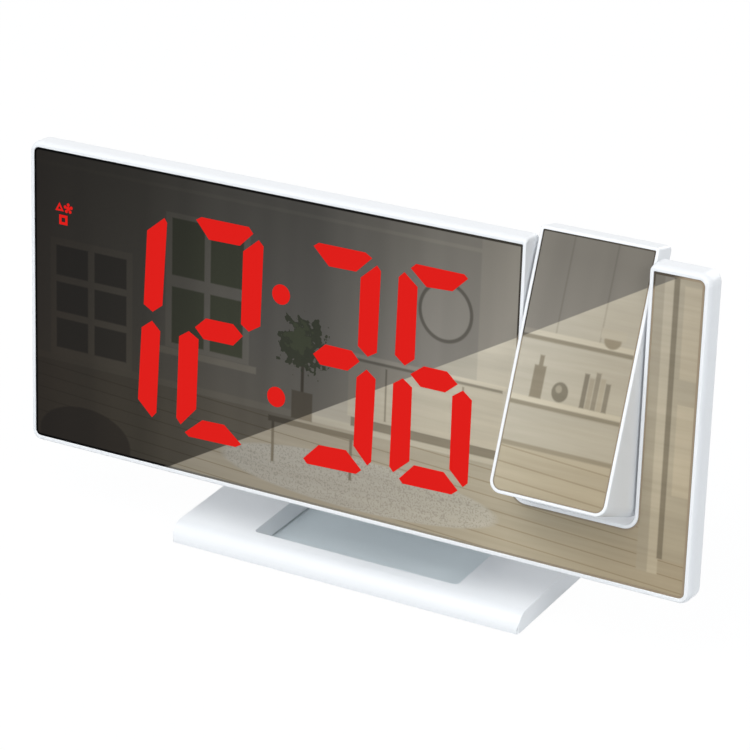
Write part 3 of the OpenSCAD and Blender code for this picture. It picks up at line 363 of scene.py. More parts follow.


# The mirror glass: its roughness and index, and the painted reflection in its base colour: tones across the
# width, tones up the height in tenths of a metre, and its noises, which paint folds, grain and streaks of the
# reflected room. The slanting line is given by a point on it in metres and its rise for each metre of width.
glassAndReflection = {
    "width": 0.184, "lineSoft": 0.00012, "roughness": 0.06, "ior": 1.22,
    "dark": [
        (0.0, (0.014, 0.0105, 0.0075)), (0.18, (0.030, 0.0265, 0.021)), (0.45, (0.090, 0.084, 0.074)),
        (0.75, (0.272, 0.25, 0.215)), (1.0, (0.30, 0.272, 0.23))],
    "light": [
        (0.2, (0.27, 0.255, 0.225)), (0.5, (0.36, 0.33, 0.28)), (0.75, (0.50, 0.455, 0.37)),
        (0.88, (0.42, 0.37, 0.285)), (1.0, (0.40, 0.345, 0.26))],
    "rising": [(0.35, (1.30, 1.25, 1.15)), (0.6, (1.0, 1.0, 1.0)), (0.95, (0.66, 0.66, 0.65))],
    "warming": [(0.25, (1.0, 0.965, 0.88)), (0.55, (1.0, 1.0, 0.97)), (0.9, (0.98, 1.0, 1.02))],
    "folds": {"scale": 70, "stretch": (1, 0.02, 0.06), "low": 0.86, "high": 1.13},
    "grain": {"scale": 240, "stretch": (0.07, 0.3, 1), "low": 0.93, "high": 1.06},
    "streak": {
        "scale": 900, "stretch": (0.05, 0.2, 1),
        "stops": [(0.35, (0.97, 0.965, 0.955)), (0.65, (1.03, 1.03, 1.03))]},
}
# The slanting lines of the painted reflection on the body's mirror and on the arm's mirror.
bodyLine = {"x": -0.052, "z": 0.02028, "rise": 0.5535}
armLine = {"x": 0.04876, "z": 0.07654, "rise": 0.5295}


def underLine(tree, x, z, line, soft):
    # One under the slanting line and nought over it: the line's height less z, spread over soft to each side.
    rise = mathNode(tree, "MULTIPLY", mathNode(tree, "SUBTRACT", x, line["x"]), line["rise"])
    under = mathNode(tree, "SUBTRACT", mathNode(tree, "ADD", rise, line["z"]), z)
    return mathNode(tree, "MULTIPLY", mathNode(tree, "ADD", under, soft), 0.5 / soft, clamp=True)


def splitCoords(tree, coords):
    split = tree.nodes.new("ShaderNodeSeparateXYZ")
    tree.links.new(coords, split.inputs[0])
    return split.outputs["X"], split.outputs["Z"]


def paintedReflectionMirror(name, line, forms):
    # Mirror glass with a weak real reflection, whose base colour is a painted reflection: a dark tone over a
    # straight slanting line and a warm light one under it, each a little brighter toward the right, with the
    # soft forms of a plain room painted in both.
    mat, tree, shader, coords = newMaterial(name)
    x, z = splitCoords(tree, coords)
    across = mathNode(tree, "MULTIPLY_ADD", x, 1 / glassAndReflection["width"], 0.5)
    upward = mathNode(tree, "MULTIPLY", z, 10.0)
    folds, grain, streak = glassAndReflection["folds"], glassAndReflection["grain"], glassAndReflection["streak"]
    room = layForms(tree, coords, x, z, forms)
    reflectedFoldNoise = addNoise(tree, coords, folds["scale"], 2, folds["stretch"])
    reflectedFoldTone = addSpread(tree, reflectedFoldNoise, folds["low"], folds["high"])
    reflectedGrainNoise = addNoise(tree, coords, grain["scale"], 3, grain["stretch"])
    reflectedGrainTone = addSpread(tree, reflectedGrainNoise, grain["low"], grain["high"])
    reflectedStreakTone = addRamp(tree, addNoise(tree, coords, streak["scale"], 2, streak["stretch"]), streak["stops"])
    dark = multiplied(tree, addRamp(tree, across, glassAndReflection["dark"]), reflectedFoldTone,
                      addRamp(tree, upward, glassAndReflection["rising"]), room)
    light = multiplied(tree, addRamp(tree, across, glassAndReflection["light"]), reflectedGrainTone, reflectedStreakTone,
                       addRamp(tree, upward, glassAndReflection["warming"]), room)
    tone = mixColour(tree, underLine(tree, x, z, line, glassAndReflection["lineSoft"]), dark, light)
    tree.links.new(tone, shader.inputs["Base Color"])
    shader.inputs["Roughness"].default_value = glassAndReflection["roughness"]
    shader.inputs["IOR"].default_value = glassAndReflection["ior"]
    return mat


# A painted shadow line along a mirror's border, where the white rim shades the recessed glass: black beside
# the dark part of the painted reflection, brown beside its light part.
shadowLineTones = {
    "width": 0.188, "lineSoft": 0.0008, "noise": 160, "wander": 0.06,
    "dark": [
        (0.0, (0.001, 0.001, 0.001)), (0.55, (0.010, 0.009, 0.008)), (0.8, (0.055, 0.047, 0.038)),
        (1.0, (0.10, 0.08, 0.06))],
    "light": [(0.3, (0.15, 0.14, 0.12)), (0.7, (0.31, 0.27, 0.205)), (1.0, (0.33, 0.26, 0.18))],
}


def paintedShadowLine(name, line):
    # The line's tone follows the painted reflection beside it, split by the same slanting line.
    mat, tree, shader, coords = newMaterial(name)
    x, z = splitCoords(tree, coords)
    across = mathNode(tree, "MULTIPLY_ADD", x, 1 / shadowLineTones["width"], 0.5)
    noise = addNoise(tree, coords, shadowLineTones["noise"], 2)
    shifted = mathNode(tree, "MULTIPLY_ADD", noise, shadowLineTones["wander"], across)
    dark = addRamp(tree, shifted, shadowLineTones["dark"])
    light = addRamp(tree, shifted, shadowLineTones["light"])
    tone = mixColour(tree, underLine(tree, x, z, line, shadowLineTones["lineSoft"]), dark, light)
    tree.links.new(tone, shader.inputs["Base Color"])
    shader.inputs["Roughness"].default_value = 0.5
    shader.inputs["Specular IOR Level"].default_value = 0.02
    return mat


# Base colours of the mirrors painted as a reflection of a room, and the painted shadow lines along their
# borders.
paintedRoomReflection = paintedReflectionMirror("paintedRoomReflection", bodyLine, reflectedRoomForms["wallForms"])
armPaintedRoomReflection = paintedReflectionMirror("armPaintedRoomReflection", armLine, reflectedRoomForms["armForms"])
mirrorShadowLine = paintedShadowLine("mirrorShadowLine", bodyLine)
armMirrorShadowLine = paintedShadowLine("armMirrorShadowLine", armLine)
print("materials ready")


def makePiece(name, points, faces, material, bodyName, replaced, sharp=40):
    # Points in metres and faces as index lists; normals point outward and flat faces keep flat shading.
    mesh = bpy.data.meshes.new(name)
    mesh.from_pydata(np.asarray(points).tolist(), [], [list(f) for f in faces])
    mesh.validate()
    work = bmesh.new()
    work.from_mesh(mesh)
    bmesh.ops.remove_doubles(work, verts=work.verts, dist=1e-7)
    bmesh.ops.recalc_face_normals(work, faces=work.faces)
    work.to_mesh(mesh)
    work.free()
    mesh.materials.append(material)
    finishShading(mesh, sharp)
    obj = bpy.data.objects.new(name, mesh)
    bpy.context.scene.collection.objects.link(obj)
    obj.modifiers.new("evenShading", "WEIGHTED_NORMAL").keep_sharp = True
    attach(obj, bodyName)
    if replaced:
        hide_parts(*replaced)


def finishShading(mesh, sharp):
    # Smooth faces, with the edges past the sharp angle kept hard.
    mesh.polygons.foreach_set("use_smooth", [True] * len(mesh.polygons))
    mesh.set_sharp_from_angle(angle=math.radians(sharp))
    mesh.update()


def arcPoints(cx, ch, radius, start, end, steps=8):
    # A circular arc: centre plus radius times cosine and sine of evenly spaced angles.
    a = np.radians(np.linspace(start, end, steps + 1))
    return np.stack([cx + radius * np.cos(a), ch + radius * np.sin(a)], 1)


def roundedBox(x0, x1, h0, h1, radii, steps=8):
    # Anticlockwise outline with its own radius at low left, low right, high right and high left.
    a, b, c, d = radii
    return np.vstack([
        arcPoints(x0 + a, h0 + a, a, 180, 270, steps), arcPoints(x1 - b, h0 + b, b, 270, 360, steps),
        arcPoints(x1 - c, h1 - c, c, 0, 90, steps), arcPoints(x0 + d, h1 - d, d, 90, 180, steps)])


def ringFaces(rings, count, closed):
    # Quads between neighbouring rings of count points each; closed joins the last ring to the first.
    r = np.arange(rings if closed else rings - 1)[:, None]
    n = np.arange(count)[None, :]
    a = r * count + n
    b = r * count + (n + 1) % count
    up = ((r + 1) % rings) * count
    return np.stack([a, b, up + (n + 1) % count, up + n], -1).reshape(-1, 4).tolist()


def loftRings(rings, closed=False):
    # Rings of equal length stacked into one skin, closed on itself or capped at both ends.
    count = len(rings[0])
    faces = ringFaces(len(rings), count, closed)
    if not closed:
        last = (len(rings) - 1) * count
        faces += [list(range(count)), [last + k for k in range(count)][::-1]]
    return np.vstack(rings), faces


def prism(outline, depthFront, depthBack, inArm=False):
    # A flat outline carried straight back: front cap, back cap and one quad for each side.
    p = np.asarray(outline, float)
    return loftRings([toFrame(p[:, 0], d, p[:, 1], inArm) for d in (depthFront, depthBack)])


def joinParts(parts):
    # One skin out of several: the points in a row, each part's faces moved on by the points before it.
    points, faces, start = [], [], 0
    for p, f in parts:
        points.append(p)
        faces += [[v + start for v in face] for face in f]
        start += len(p)
    return np.vstack(points), faces


# How a node's own form is rounded: points merged within merge metres, faces joined within flat degrees, and a
# bevel on edges over limit degrees.
rounding = {"merge": 2e-6, "flat": 1.0, "limit": 32, "sharp": 40}


def bevelledCopy(nodeName, name, material, width, segments=3):
    # The CAD node's own shape, merged into clean faces, with its edges rounded by a live bevel.
    source = nodes[nodeName]
    work = bmesh.new()
    work.from_mesh(source.data)
    bmesh.ops.remove_doubles(work, verts=work.verts, dist=rounding["merge"])
    flat = math.radians(rounding["flat"])
    bmesh.ops.dissolve_limit(work, angle_limit=flat, verts=work.verts, edges=work.edges)
    bmesh.ops.recalc_face_normals(work, faces=work.faces)
    mesh = bpy.data.meshes.new(name)
    work.to_mesh(mesh)
    work.free()
    mesh.materials.clear()
    mesh.materials.append(material)
    finishShading(mesh, rounding["sharp"])
    obj = bpy.data.objects.new(name, mesh)
    bpy.context.scene.collection.objects.link(obj)
    bevel = obj.modifiers.new("roundEdges", "BEVEL")
    bevel.width = width * mm
    bevel.segments = segments
    bevel.limit_method = "ANGLE"
    bevel.angle_limit = math.radians(rounding["limit"])
    obj.modifiers.new("evenShading", "WEIGHTED_NORMAL").keep_sharp = False
    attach(obj, source["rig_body"])
    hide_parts(nodeName)


# The lit bars of the time, each an outline in x and height on the body's face, and the two dots.
litBars = {
    "front": 0.15, "back": 3.4, "dotSteps": 40,
    "bars": [
        [(-52.9, 66.9), (-58, 62.8), (-58.9, 43.5), (-56.2, 42), (-53.3, 44.2), (-52.1, 65.8)],
        [(-56.4, 39.6), (-59.5, 37.3), (-60.5, 18), (-56.2, 14), (-54.9, 15.5), (-53.9, 37.3)],
        [(-43.5, 68.2), (-42, 69.1), (-28.2, 69.1), (-26.9, 67.6), (-30.7, 63.9), (-39.7, 63.8)],
        [(-25.3, 66.3), (-23.9, 65), (-24.4, 44.5), (-27.7, 42.5), (-30, 44), (-29.7, 62.7)],
        [(-43.5, 40.5), (-40.3, 43.4), (-32.3, 43.5), (-29.4, 41), (-32.2, 38), (-40.9, 37.9)],
        [(-45.3, 39.1), (-42.4, 37.5), (-42.9, 19), (-47.5, 14), (-48.8, 15.5), (-48.2, 37.2)],
        [(-46.2, 12.2), (-45, 11.3), (-31, 11.6), (-29.3, 12.6), (-34.5, 16.7), (-41, 16.5)],
        [(-9.7, 67.8), (-8.3, 68.8), (4.7, 68.8), (6.6, 67.7), (2.3, 63.6), (-5.3, 63.5)],
        [(8, 66.2), (9.1, 65), (8.7, 44.5), (6.2, 43), (3.4, 45.2), (3.6, 62.4)],
        [(-9.1, 40.6), (-5.7, 43.7), (1.7, 43.6), (4.0, 41.3), (0.7, 38.3), (-7, 38.3)],
        [(6, 39.7), (8.6, 37.8), (8.1, 16.5), (7, 15.3), (3, 19.5), (3.3, 37.2)],
        [(-11.2, 13.1), (-10.1, 11.9), (3.9, 12.4), (5.4, 13.7), (0.9, 17.9), (-6.9, 17.5)],
        [(17.2, 67.3), (18.6, 68.6), (31.5, 68.5), (32.6, 67.6), (28.6, 63.8), (21.6, 63.5)],
        [(15.5, 66), (14, 64.5), (13.7, 45), (16.5, 42.9), (19.1, 45), (19.2, 63)],
        [(18.1, 41.1), (21.7, 43.8), (28, 43.8), (31, 41.2), (27.7, 38.5), (21, 38.5)],
        [(16.1, 39.6), (18.7, 37.8), (18.7, 19), (14.3, 15.2), (13.2, 16.5), (13.5, 37.8)],
        [(32.5, 40), (35, 38), (34.8, 17), (33.5, 15.8), (29.7, 19.5), (29.7, 38)],
        [(16, 14), (17, 12.9), (30.5, 13.2), (32.2, 14.6), (28.2, 18.4), (20, 18.3)],
    ],
    "dots": [(-18.6, 53.8, 2.55), (-19.4, 27.3, 2.6)],
}


def barOutline(corners):
    # The outline runs anticlockwise seen from the front, so that the front cap faces the viewer.
    p = np.array(corners)
    q = np.roll(p, -1, axis=0)
    area = np.sum(p[:, 0] * q[:, 1] - q[:, 0] * p[:, 1])
    return p if area > 0 else p[::-1]


angles = np.linspace(0, 2 * np.pi, litBars["dotSteps"], endpoint=False)
outlines = [barOutline(b) for b in litBars["bars"]]
outlines += [np.stack([x + r * np.cos(angles), h + r * np.sin(angles)], 1) for x, h, r in litBars["dots"]]
points, faces = joinParts([prism(o, litBars["front"], litBars["back"]) for o in outlines])
makePiece("timeBars", points, faces, litRed, "clock", ["lit_segments"])

# The signs at the upper left: an open triangle and a star of dots over an open square.
signs = {
    "triangle": {"x": -84.744, "height": 63.832, "radius": 1.49408, "hole": 0.38},
    "square": {"x": -83.568, "height": 60.864, "radius": 1.8032, "hole": 0.45},
    "star": {"x": -82.056, "height": 64.056, "radius": 0.56672},
    "dots": {"count": 5, "reach": 0.97888, "radius": 0.43792},
}


def polygonRing(x, height, radius, corners, turn, hole=0.0, front=litBars["front"], back=litBars["back"]):
    # A prism on evenly spaced corners of a circle; hole is the share of the radius that stays open.
    a = np.radians(turn + np.arange(corners) * 360 / corners)
    outer = np.stack([x + radius * np.cos(a), height + radius * np.sin(a)], 1)
    if not hole:
        return prism(outer, front, back)
    inner = np.stack([x + radius * hole * np.cos(a), height + radius * hole * np.sin(a)], 1)
    corner = ((outer, front), (outer, back), (inner, back), (inner, front))
    return loftRings([toFrame(p[:, 0], d, p[:, 1]) for p, d in corner], closed=True)


triangle, square, star, dots = signs["triangle"], signs["square"], signs["star"], signs["dots"]
parts = [
    polygonRing(triangle["x"], triangle["height"], triangle["radius"], 3, 90, triangle["hole"]),
    polygonRing(square["x"], square["height"], square["radius"], 4, 45, square["hole"]),
    polygonRing(star["x"], star["height"], star["radius"], 10, 18)]
for k in range(dots["count"]):
    a = math.radians(90 + 360 * k / dots["count"])
    dotX, dotHeight = star["x"] + dots["reach"] * math.cos(a), star["height"] + dots["reach"] * math.sin(a)
    parts.append(polygonRing(dotX, dotHeight, dots["radius"], 12, 0))
points, faces = joinParts(parts)
makePiece("signLights", points, faces, litRed, "clock", ["indicator_light"])
print("time bars and signs made")

# The white frame round the mirror. The names with bay give the same measures at the bay's own rim.
rimRing = {
    "wall": 2.4, "bayWall": 1.6, "rim": 1.5, "bayRim": 0.9, "seat": 1.8,
    "backRound": 1.3, "bow": 2.4, "bayBow": 0.12, "bowTurn": 40, "bowSteps": 6,
    "lipRound": 0.3, "bayLip": 0.03, "innerRound": 0.22,
    "mouth": 0.9, "leastMouth": 0.25, "mouthSteps": 4, "leastCorner": 0.5, "steps": 7,
}


def faceOutline(outer, inner, depth):
    # The face moved in by outer at its free edges and by inner round the bay. The bay's floor is an arc
    # about the arm's pivot, so its height depends on the depth.
    half = body["width"] / 2 - outer
    low, high = outer, body["height"] - outer
    r = max(body["corner"] - outer, rimRing["leastCorner"])
    left, right = bay["left"] - inner, bay["right"] + inner
    q = bay["corner"] + inner
    base = arm["pivotHeight"] - math.sqrt(arm["reach"] ** 2 - (arm["pivotDepth"] - depth) ** 2) - inner
    m, n = max(rimRing["mouth"] - min(outer, inner), rimRing["leastMouth"]), rimRing["mouthSteps"]
    return np.vstack([
        arcPoints(-half + r, low + r, r, 180, 270), arcPoints(half - r, low + r, r, 270, 360),
        arcPoints(half - r, high - r, r, 0, 90), arcPoints(right + m, high - m, m, 90, 180, n),
        arcPoints(right - q, base + q, q, 0, -90), arcPoints(left + q, base + q, q, -90, -180),
        arcPoints(left - m, high - m, m, 0, 90, n), arcPoints(-half + r, high - r, r, 90, 180)])


def faceRing(outer, inner, depth):
    # The face's outline at one depth behind the face, in the part's frame.
    p = faceOutline(outer, inner, depth)
    return toFrame(p[:, 0], depth, p[:, 1])


# The section of the ring as inset at the free edges, inset at the bay and depth, from the seat by the back.
quarter = np.linspace(0, math.pi / 2, rimRing["steps"])
backRound, innerRound = rimRing["backRound"], rimRing["innerRound"]
section = [(rimRing["wall"], rimRing["bayWall"], rimRing["seat"]),
           (rimRing["wall"], rimRing["bayWall"], body["band"])]
section += [(backRound * (1 - math.sin(a)), 0, body["band"] - backRound * (1 - math.cos(a))) for a in quarter]
# The front edge: a slow bow of the side, then a tight round onto the flat lip.
turn, bow, lip = math.radians(rimRing["bowTurn"]), rimRing["bow"], rimRing["lipRound"]
lipDepth = lip * (1 - math.sin(turn))
lipIn = bow * (1 - math.cos(turn))
bowTurns = np.linspace(0, turn, rimRing["bowSteps"])
lipTurns = np.linspace(turn, math.pi / 2, rimRing["bowSteps"])[1:]
section += [(bow * (1 - math.cos(a)), rimRing["bayBow"] * (1 - math.cos(a)),
             lipDepth + bow * (math.sin(turn) - math.sin(a))) for a in bowTurns]
section += [(lipIn + lip * (math.cos(turn) - math.cos(a)),
             rimRing["bayLip"] + lip * (math.cos(turn) - math.cos(a)),
             lip * (1 - math.sin(a))) for a in lipTurns]
section += [(rimRing["rim"] - innerRound * (1 - math.sin(a)),
             rimRing["bayRim"] - innerRound * (1 - math.sin(a)),
             innerRound * (1 - math.cos(a))) for a in quarter]
section += [(rimRing["rim"], rimRing["bayRim"], rimRing["seat"])]
points, faces = loftRings([faceRing(*s) for s in section], closed=True)
makePiece("faceFrame", points, faces, shellWhite, "clock", ["front_frame"])
print("face frame made")

# The mirror panel, whose base colour is a painted reflection, and a painted shadow line as a thin ring over
# the border of the glass, where the rim shades it.
mirrorPanel = {
    "front": 0.2, "back": 1.8, "gap": 0.1, "bevel": 0.1, "sharp": 20,
    "edge": 0.55, "bayEdge": 0.44, "edgeFront": 0.17, "edgeBack": 0.6, "overlap": 0.06,
}
gap, bevelled, overlap = mirrorPanel["gap"], mirrorPanel["bevel"], mirrorPanel["overlap"]
front, back = mirrorPanel["front"], mirrorPanel["back"]
edgeFront, edgeBack = mirrorPanel["edgeFront"], mirrorPanel["edgeBack"]
outer, inner = rimRing["rim"] + gap, rimRing["bayRim"] + gap
points, faces = loftRings([
    faceRing(outer + bevelled, inner + bevelled, front), faceRing(outer, inner, front + bevelled),
    faceRing(outer, inner, back)])
makePiece("mirrorFace", points, faces, paintedRoomReflection, "clock", ["mirror_panel"], mirrorPanel["sharp"])
outer, inner = outer - overlap, inner - overlap
edge, bayEdge = mirrorPanel["edge"], mirrorPanel["bayEdge"]
points, faces = loftRings([
    faceRing(outer, inner, edgeBack), faceRing(outer, inner, edgeFront),
    faceRing(outer + edge, inner + bayEdge, edgeFront),
    faceRing(outer + edge, inner + bayEdge, edgeBack)], closed=True)
makePiece("mirrorShadowEdge", points, faces, mirrorShadowLine, "clock", ())
print("mirror made")

# The projector arm: its rim with a closed lid behind the glass, its mirror with a painted reflection and a
# painted shadow line, and its shell.
armRing = {
    "wall": 1.6, "rim": 0.8, "band": 6.6, "seat": 1.8, "corner": 3.0, "topCorner": 0.8, "topRise": 1.2,
    "leastCorner": 0.4, "leastTopCorner": 0.3, "frontRound": 0.35, "innerRound": 0.2, "backRound": 0.7,
    "lidInset": 0.9, "lidFront": 2.2, "lidGap": 0.3, "edge": 0.2,
}


def armOutline(inset, topInset=None):
    # The arm's face moved in by inset, at the top by topInset if that is given: a box with wide corners
    # below and tight ones above.
    side = arm["width"] / 2 - inset
    low = max(armRing["corner"] - inset, armRing["leastCorner"])
    high = max(armRing["topCorner"] - inset, armRing["leastTopCorner"])
    top = arm["top"] - (inset if topInset is None else topInset)
    return roundedBox(arm["x"] - side, arm["x"] + side, arm["bottom"] + inset, top, (low, low, high, high))


def armLoop(inset, depth, topInset=None):
    # The top face climbs toward the back: the upper half of each ring is lifted in proportion to its depth.
    p = armOutline(inset, topInset)
    lift = np.where(p[:, 1] > arm["pivotHeight"], armRing["topRise"] * depth / armRing["band"], 0)
    return toFrame(p[:, 0], depth, p[:, 1] + lift, True)


band, seat, rim = armRing["band"], armRing["seat"], armRing["rim"]
backRound, frontRound, innerRound = armRing["backRound"], armRing["frontRound"], armRing["innerRound"]
rings = [armLoop(armRing["wall"], seat), armLoop(armRing["wall"], band)]
rings += [armLoop(0, band - backRound * (1 - math.cos(a)), backRound * (1 - math.sin(a))) for a in quarter]
rings += [armLoop(frontRound * (1 - math.cos(a)), frontRound * (1 - math.sin(a))) for a in quarter]
rings += [armLoop(rim - innerRound * (1 - math.sin(a)), innerRound * (1 - math.cos(a))) for a in quarter]
rings += [armLoop(rim, seat)]
lid = prism(armOutline(armRing["lidInset"]), armRing["lidFront"], band - armRing["lidGap"], True)
points, faces = joinParts([loftRings(rings, closed=True), lid])
makePiece("armRim", points, faces, shellWhite, "projector_arm", ["arm_frame"])
inset = rim + gap
# The arm's mirror, its base colour a painted reflection.
points, faces = loftRings([
    armLoop(inset + bevelled, front), armLoop(inset, front + bevelled), armLoop(inset, back)])
makePiece("armMirrorFace", points, faces, armPaintedRoomReflection, "projector_arm", ["arm_mirror"],
          mirrorPanel["sharp"])
# A painted shadow line round the arm's mirror, where its rim shades the glass.
points, faces = loftRings([
    armLoop(inset - overlap, edgeBack), armLoop(inset - overlap, edgeFront),
    armLoop(inset + armRing["edge"], edgeFront), armLoop(inset + armRing["edge"], edgeBack)], closed=True)
makePiece("armMirrorShadowEdge", points, faces, armMirrorShadowLine, "projector_arm", ())
bevelledCopy("arm_housing", "armShell", shellWhite, 0.3)
print("arm made")

# Stand, rear shell, keys, sockets and inner pieces with their own forms: edge round and segments.
bevelledCopy("stand", "standLoop", shellWhite, 0.45, 4)
bevelledCopy("rear_cover", "rearShell", shellWhite, 0.3)
bevelledCopy("battery_door", "batteryLid", shellWhite, 0.25)
bevelledCopy("rubber_strips", "gripStrips", rubberGrey, 0.2)
for key in ("snooze", "mode", "set", "up", "down", "light"):
    bevelledCopy(key + "_button", key + "Key", keyWhite, 0.3)
bevelledCopy("usb_port", "usbShell", steelMetal, 0.12, 2)
bevelledCopy("power_inlet", "powerSocket", socketBlack, 0.2, 2)
bevelledCopy("speaker_basket", "speakerFrame", steelMetal, 0.15, 2)
bevelledCopy("lens_barrel", "lensTube", darkPlastic, 0.12, 2)
bevelledCopy("optics_tube", "lightTube", darkPlastic, 0.15, 2)
bevelledCopy("focus_ring", "focusWheel", rubberGrey, 0.12, 2)
bevelledCopy("coin_cell", "buttonCell", steelMetal, 0.25, 2)
bevelledCopy("tact_switches", "keySwitches", steelMetal, 0.1, 2)
print("stand, shell, keys and sockets made")

# Plain signs printed on the keys.
keyMarks = {
    "x": -62.0, "step": 15.994, "height": 62.0, "front": 27.12, "back": 27.24, "size": 1.35,
    "barWidth": 2.4, "barThick": 0.36, "barStep": 0.85, "ringShare": 0.9, "ringHole": 0.66, "arrowShift": 0.2,
    "sunRadius": 0.6, "sunReach": 1.15, "sunDot": 0.19,
}
markLow, markTop, markSize = keyMarks["front"], keyMarks["back"], keyMarks["size"]


def keyDisc(x, height, radius, corners=24, turn=0, hole=0.0):
    # A polygon of the key signs, thin and just over the key's top.
    return polygonRing(x, height, radius, corners, turn, hole, markLow, markTop)


def keyBar(x, height):
    # A level bar with rounded ends.
    w, t = keyMarks["barWidth"] / 2, keyMarks["barThick"] / 2
    radii = (keyMarks["barThick"] * 0.3,) * 4
    return prism(roundedBox(x - w, x + w, height - t, height + t, radii, 3), markLow, markTop)


def keyMoon(x, height, radius):
    # A crescent: a wide arc out and a flatter arc back between the same two tips.
    outer = arcPoints(x, height, radius, 60, 300, 20)
    tip = radius * math.cos(math.radians(60))
    inner = arcPoints(x + tip, height, radius * math.sin(math.radians(60)), 270, 90, 16)[1:-1]
    return prism(np.vstack([outer, inner]), markLow, markTop)


def keySun(x, height):
    # A disc in a circle of eight dots.
    reach = keyMarks["sunReach"]
    rays = [keyDisc(x + reach * math.cos(a), height + reach * math.sin(a), keyMarks["sunDot"], 12)
            for a in np.radians(np.arange(0, 360, 45))]
    return [keyDisc(x, height, keyMarks["sunRadius"])] + rays


signOf = {
    "snooze": lambda x, h: [keyMoon(x, h, markSize)],
    "mode": lambda x, h: [keyBar(x, h + k * keyMarks["barStep"]) for k in (-1, 0, 1)],
    "set": lambda x, h: [keyDisc(x, h, markSize * keyMarks["ringShare"], 28, 0, keyMarks["ringHole"])],
    "up": lambda x, h: [keyDisc(x, h - keyMarks["arrowShift"], markSize, 3, 90)],
    "down": lambda x, h: [keyDisc(x, h + keyMarks["arrowShift"], markSize, 3, -90)],
    "light": keySun,
}
for k, key in enumerate(signOf):
    points, faces = joinParts(signOf[key](keyMarks["x"] + k * keyMarks["step"], keyMarks["height"]))
    makePiece(key + "Sign", points, faces, inkGrey, nodes[key + "_button"]["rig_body"], ())
print("key signs made")

# Finishes of the CAD nodes that stay.
finishes = {
    darkPlastic: ["display_reflector", "dark_segments", "time_slide"],
    coneGrey: ["speaker_cone"],
    rubberGrey: ["hinge_washers", "pivot_washers"],
    boardGreen: ["main_board", "key_board", "power_board", "lamp_board"],
    steelMetal: ["hinge_pin", "hinge_clip", "case_screws", "board_screws", "pivot_pins"],
    contactBrass: ["battery_contacts"],
    chipBlack: ["controller_chips"],
    ledCream: ["display_leds"],
    lensClear: ["condenser_lens", "projection_lens"],
    lampGlow: ["projector_lamp"],
}
for material, names in finishes.items():
    for n in names:
        nodes[n].data.materials.clear()
        nodes[n].data.materials.append(material)
print("inner pieces finished")

# The camera's place is in metres; forward is the way it looks and roll turns it about that.
view = {
    "place": (0.35813, -0.56671, 0.36564),
    "forward": (-0.47557603, 0.77353738, -0.41888825),
    "roll": -1.48, "lens": 147.67, "sensor": 36, "farthest": 20,
}
cameraData = bpy.data.cameras.new("camera")
cameraData.lens = view["lens"]
cameraData.sensor_width = view["sensor"]
cameraData.clip_end = view["farthest"]
camera = bpy.data.objects.new("camera", cameraData)
camera.rotation_mode = "QUATERNION"
camera.location = view["place"]
aim = Vector(view["forward"]).to_track_quat("-Z", "Y")
camera.rotation_quaternion = aim @ Matrix.Rotation(math.radians(view["roll"]), 3, "Z").to_quaternion()
bpy.context.scene.collection.objects.link(camera)
bpy.context.scene.camera = camera

# Each lamp's place, target and size in metres, and its power in watts.
lamps = {
    "keyLight": ((-0.1, -1.85, 0.9), (0, 0, 0.04), (1.2, 0.9), 6.2),
    "topLight": ((-0.15, -1.0, 1.6), (0, 0, 0.05), (1.5, 1.2), 16.4),
    "fillLight": ((1.5, -0.7, 1.15), (0, 0, 0.05), (0.9, 0.9), 8.3),
    "backLight": ((0.4, 1.8, 0.55), (0, 0.03, 0.05), (1.4, 0.8), 7.0),
}
for name, (lampPlace, target, lampSize, power) in lamps.items():
    data = bpy.data.lights.new(name, "AREA")
    data.shape = "RECTANGLE"
    data.size, data.size_y = lampSize
    data.energy = power
    lamp = bpy.data.objects.new(name, data)
    lamp.location = lampPlace
    lamp.rotation_mode = "QUATERNION"
    lamp.rotation_quaternion = (Vector(target) - Vector(lampPlace)).to_track_quat("-Z", "Y")
    bpy.context.scene.collection.objects.link(lamp)


def directRay(tree):
    # One for camera, glossy and transmission rays, nought for the others.
    path = tree.nodes.new("ShaderNodeLightPath")
    first = mathNode(tree, "ADD", path.outputs["Is Camera Ray"], path.outputs["Is Glossy Ray"])
    return mathNode(tree, "ADD", first, path.outputs["Is Transmission Ray"], clamp=True)


# The world lights the object with one grey and shows white to direct rays.
sky = {"colour": (0.93, 0.96, 1.0), "strength": 0.475, "seen": 1.0}
world = bpy.data.worlds.new("world")
world.use_nodes = True
bpy.context.scene.world = world
worldTree = world.node_tree
worldTree.nodes.clear()
worldOut = worldTree.nodes.new("ShaderNodeOutputWorld")
mixSky = worldTree.nodes.new("ShaderNodeMixShader")
lit = worldTree.nodes.new("ShaderNodeBackground")
lit.inputs["Color"].default_value = (*sky["colour"], 1)
lit.inputs["Strength"].default_value = sky["strength"]
seen = worldTree.nodes.new("ShaderNodeBackground")
seen.inputs["Color"].default_value = (1, 1, 1, 1)
seen.inputs["Strength"].default_value = sky["seen"]
worldTree.links.new(directRay(worldTree), mixSky.inputs["Fac"])
worldTree.links.new(lit.outputs[0], mixSky.inputs[1])
worldTree.links.new(seen.outputs[0], mixSky.inputs[2])
worldTree.links.new(mixSky.outputs[0], worldOut.inputs["Surface"])

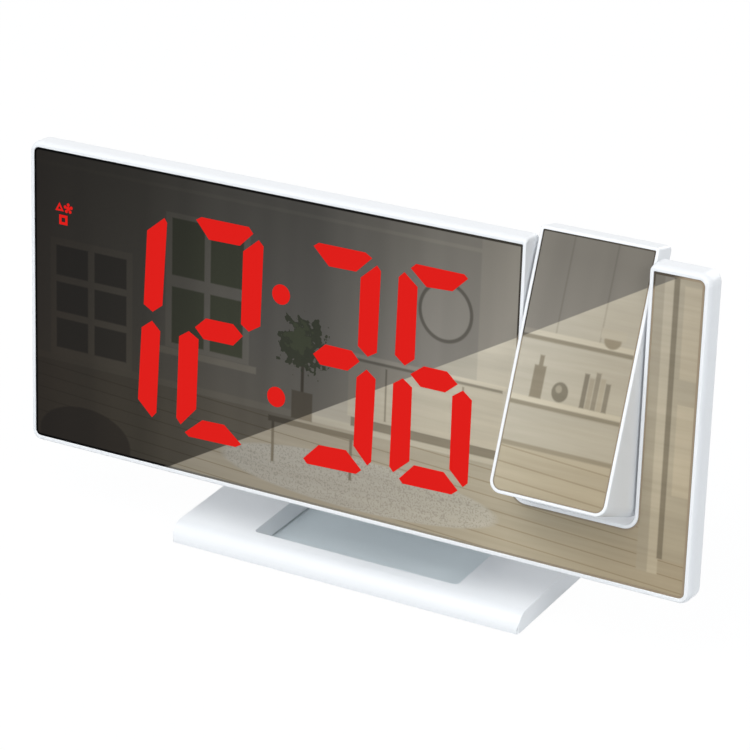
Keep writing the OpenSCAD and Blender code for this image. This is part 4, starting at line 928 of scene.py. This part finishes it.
# White paper that shows itself to direct rays and keeps a soft shadow. Under the stand's window it is plain
# paper in the shade. All in metres.
floorPaper = {
    "reach": 6, "glow": 1.03, "glowShare": 0.94, "plain": (0.60, 0.63, 0.65), "shaded": (0.88, 0.95, 0.97),
    "halfWidth": 0.042, "y": 0.022, "halfDepth": 0.020, "soft": 0.004,
}
floorMat = bpy.data.materials.new("floorPaper")
floorMat.use_nodes = True
floorTree = floorMat.node_tree
floorTree.nodes.clear()
floorOut = floorTree.nodes.new("ShaderNodeOutputMaterial")
paper = floorTree.nodes.new("ShaderNodeBsdfDiffuse")
glow = floorTree.nodes.new("ShaderNodeEmission")
glow.inputs["Strength"].default_value = floorPaper["glow"]
spot = floorTree.nodes.new("ShaderNodeSeparateXYZ")
floorTree.links.new(floorTree.nodes.new("ShaderNodeTexCoord").outputs["Object"], spot.inputs[0])
sideways = mathNode(floorTree, "ABSOLUTE", spot.outputs["X"])
beside = mathNode(floorTree, "SUBTRACT", floorPaper["halfWidth"], sideways)
fromMiddle = mathNode(floorTree, "SUBTRACT", spot.outputs["Y"], floorPaper["y"])
along = mathNode(floorTree, "SUBTRACT", floorPaper["halfDepth"], mathNode(floorTree, "ABSOLUTE", fromMiddle))
inside = mathNode(floorTree, "MINIMUM", beside, along)
shade = mathNode(floorTree, "MULTIPLY", inside, 1 / floorPaper["soft"], clamp=True)
dimmed = mathNode(floorTree, "MULTIPLY", shade, floorPaper["glowShare"])
glowShare = mathNode(floorTree, "SUBTRACT", floorPaper["glowShare"], dimmed)
paperTone = mixColour(floorTree, shade, floorPaper["plain"], floorPaper["shaded"])
floorTree.links.new(paperTone, paper.inputs["Color"])
mixPaper = floorTree.nodes.new("ShaderNodeMixShader")
floorTree.links.new(mathNode(floorTree, "MULTIPLY", directRay(floorTree), glowShare), mixPaper.inputs["Fac"])
floorTree.links.new(paper.outputs[0], mixPaper.inputs[1])
floorTree.links.new(glow.outputs[0], mixPaper.inputs[2])
floorTree.links.new(mixPaper.outputs[0], floorOut.inputs["Surface"])
far = floorPaper["reach"]
floorMesh = bpy.data.meshes.new("floor")
floorMesh.from_pydata([(-far, -far, 0), (far, -far, 0), (far, far, 0), (-far, far, 0)], [], [(0, 1, 2, 3)])
floorMesh.materials.append(floorMat)
floor = bpy.data.objects.new("floor", floorMesh)
bpy.context.scene.collection.objects.link(floor)

bpy.context.scene.view_settings.view_transform = "Standard"
print("camera, light and floor set")
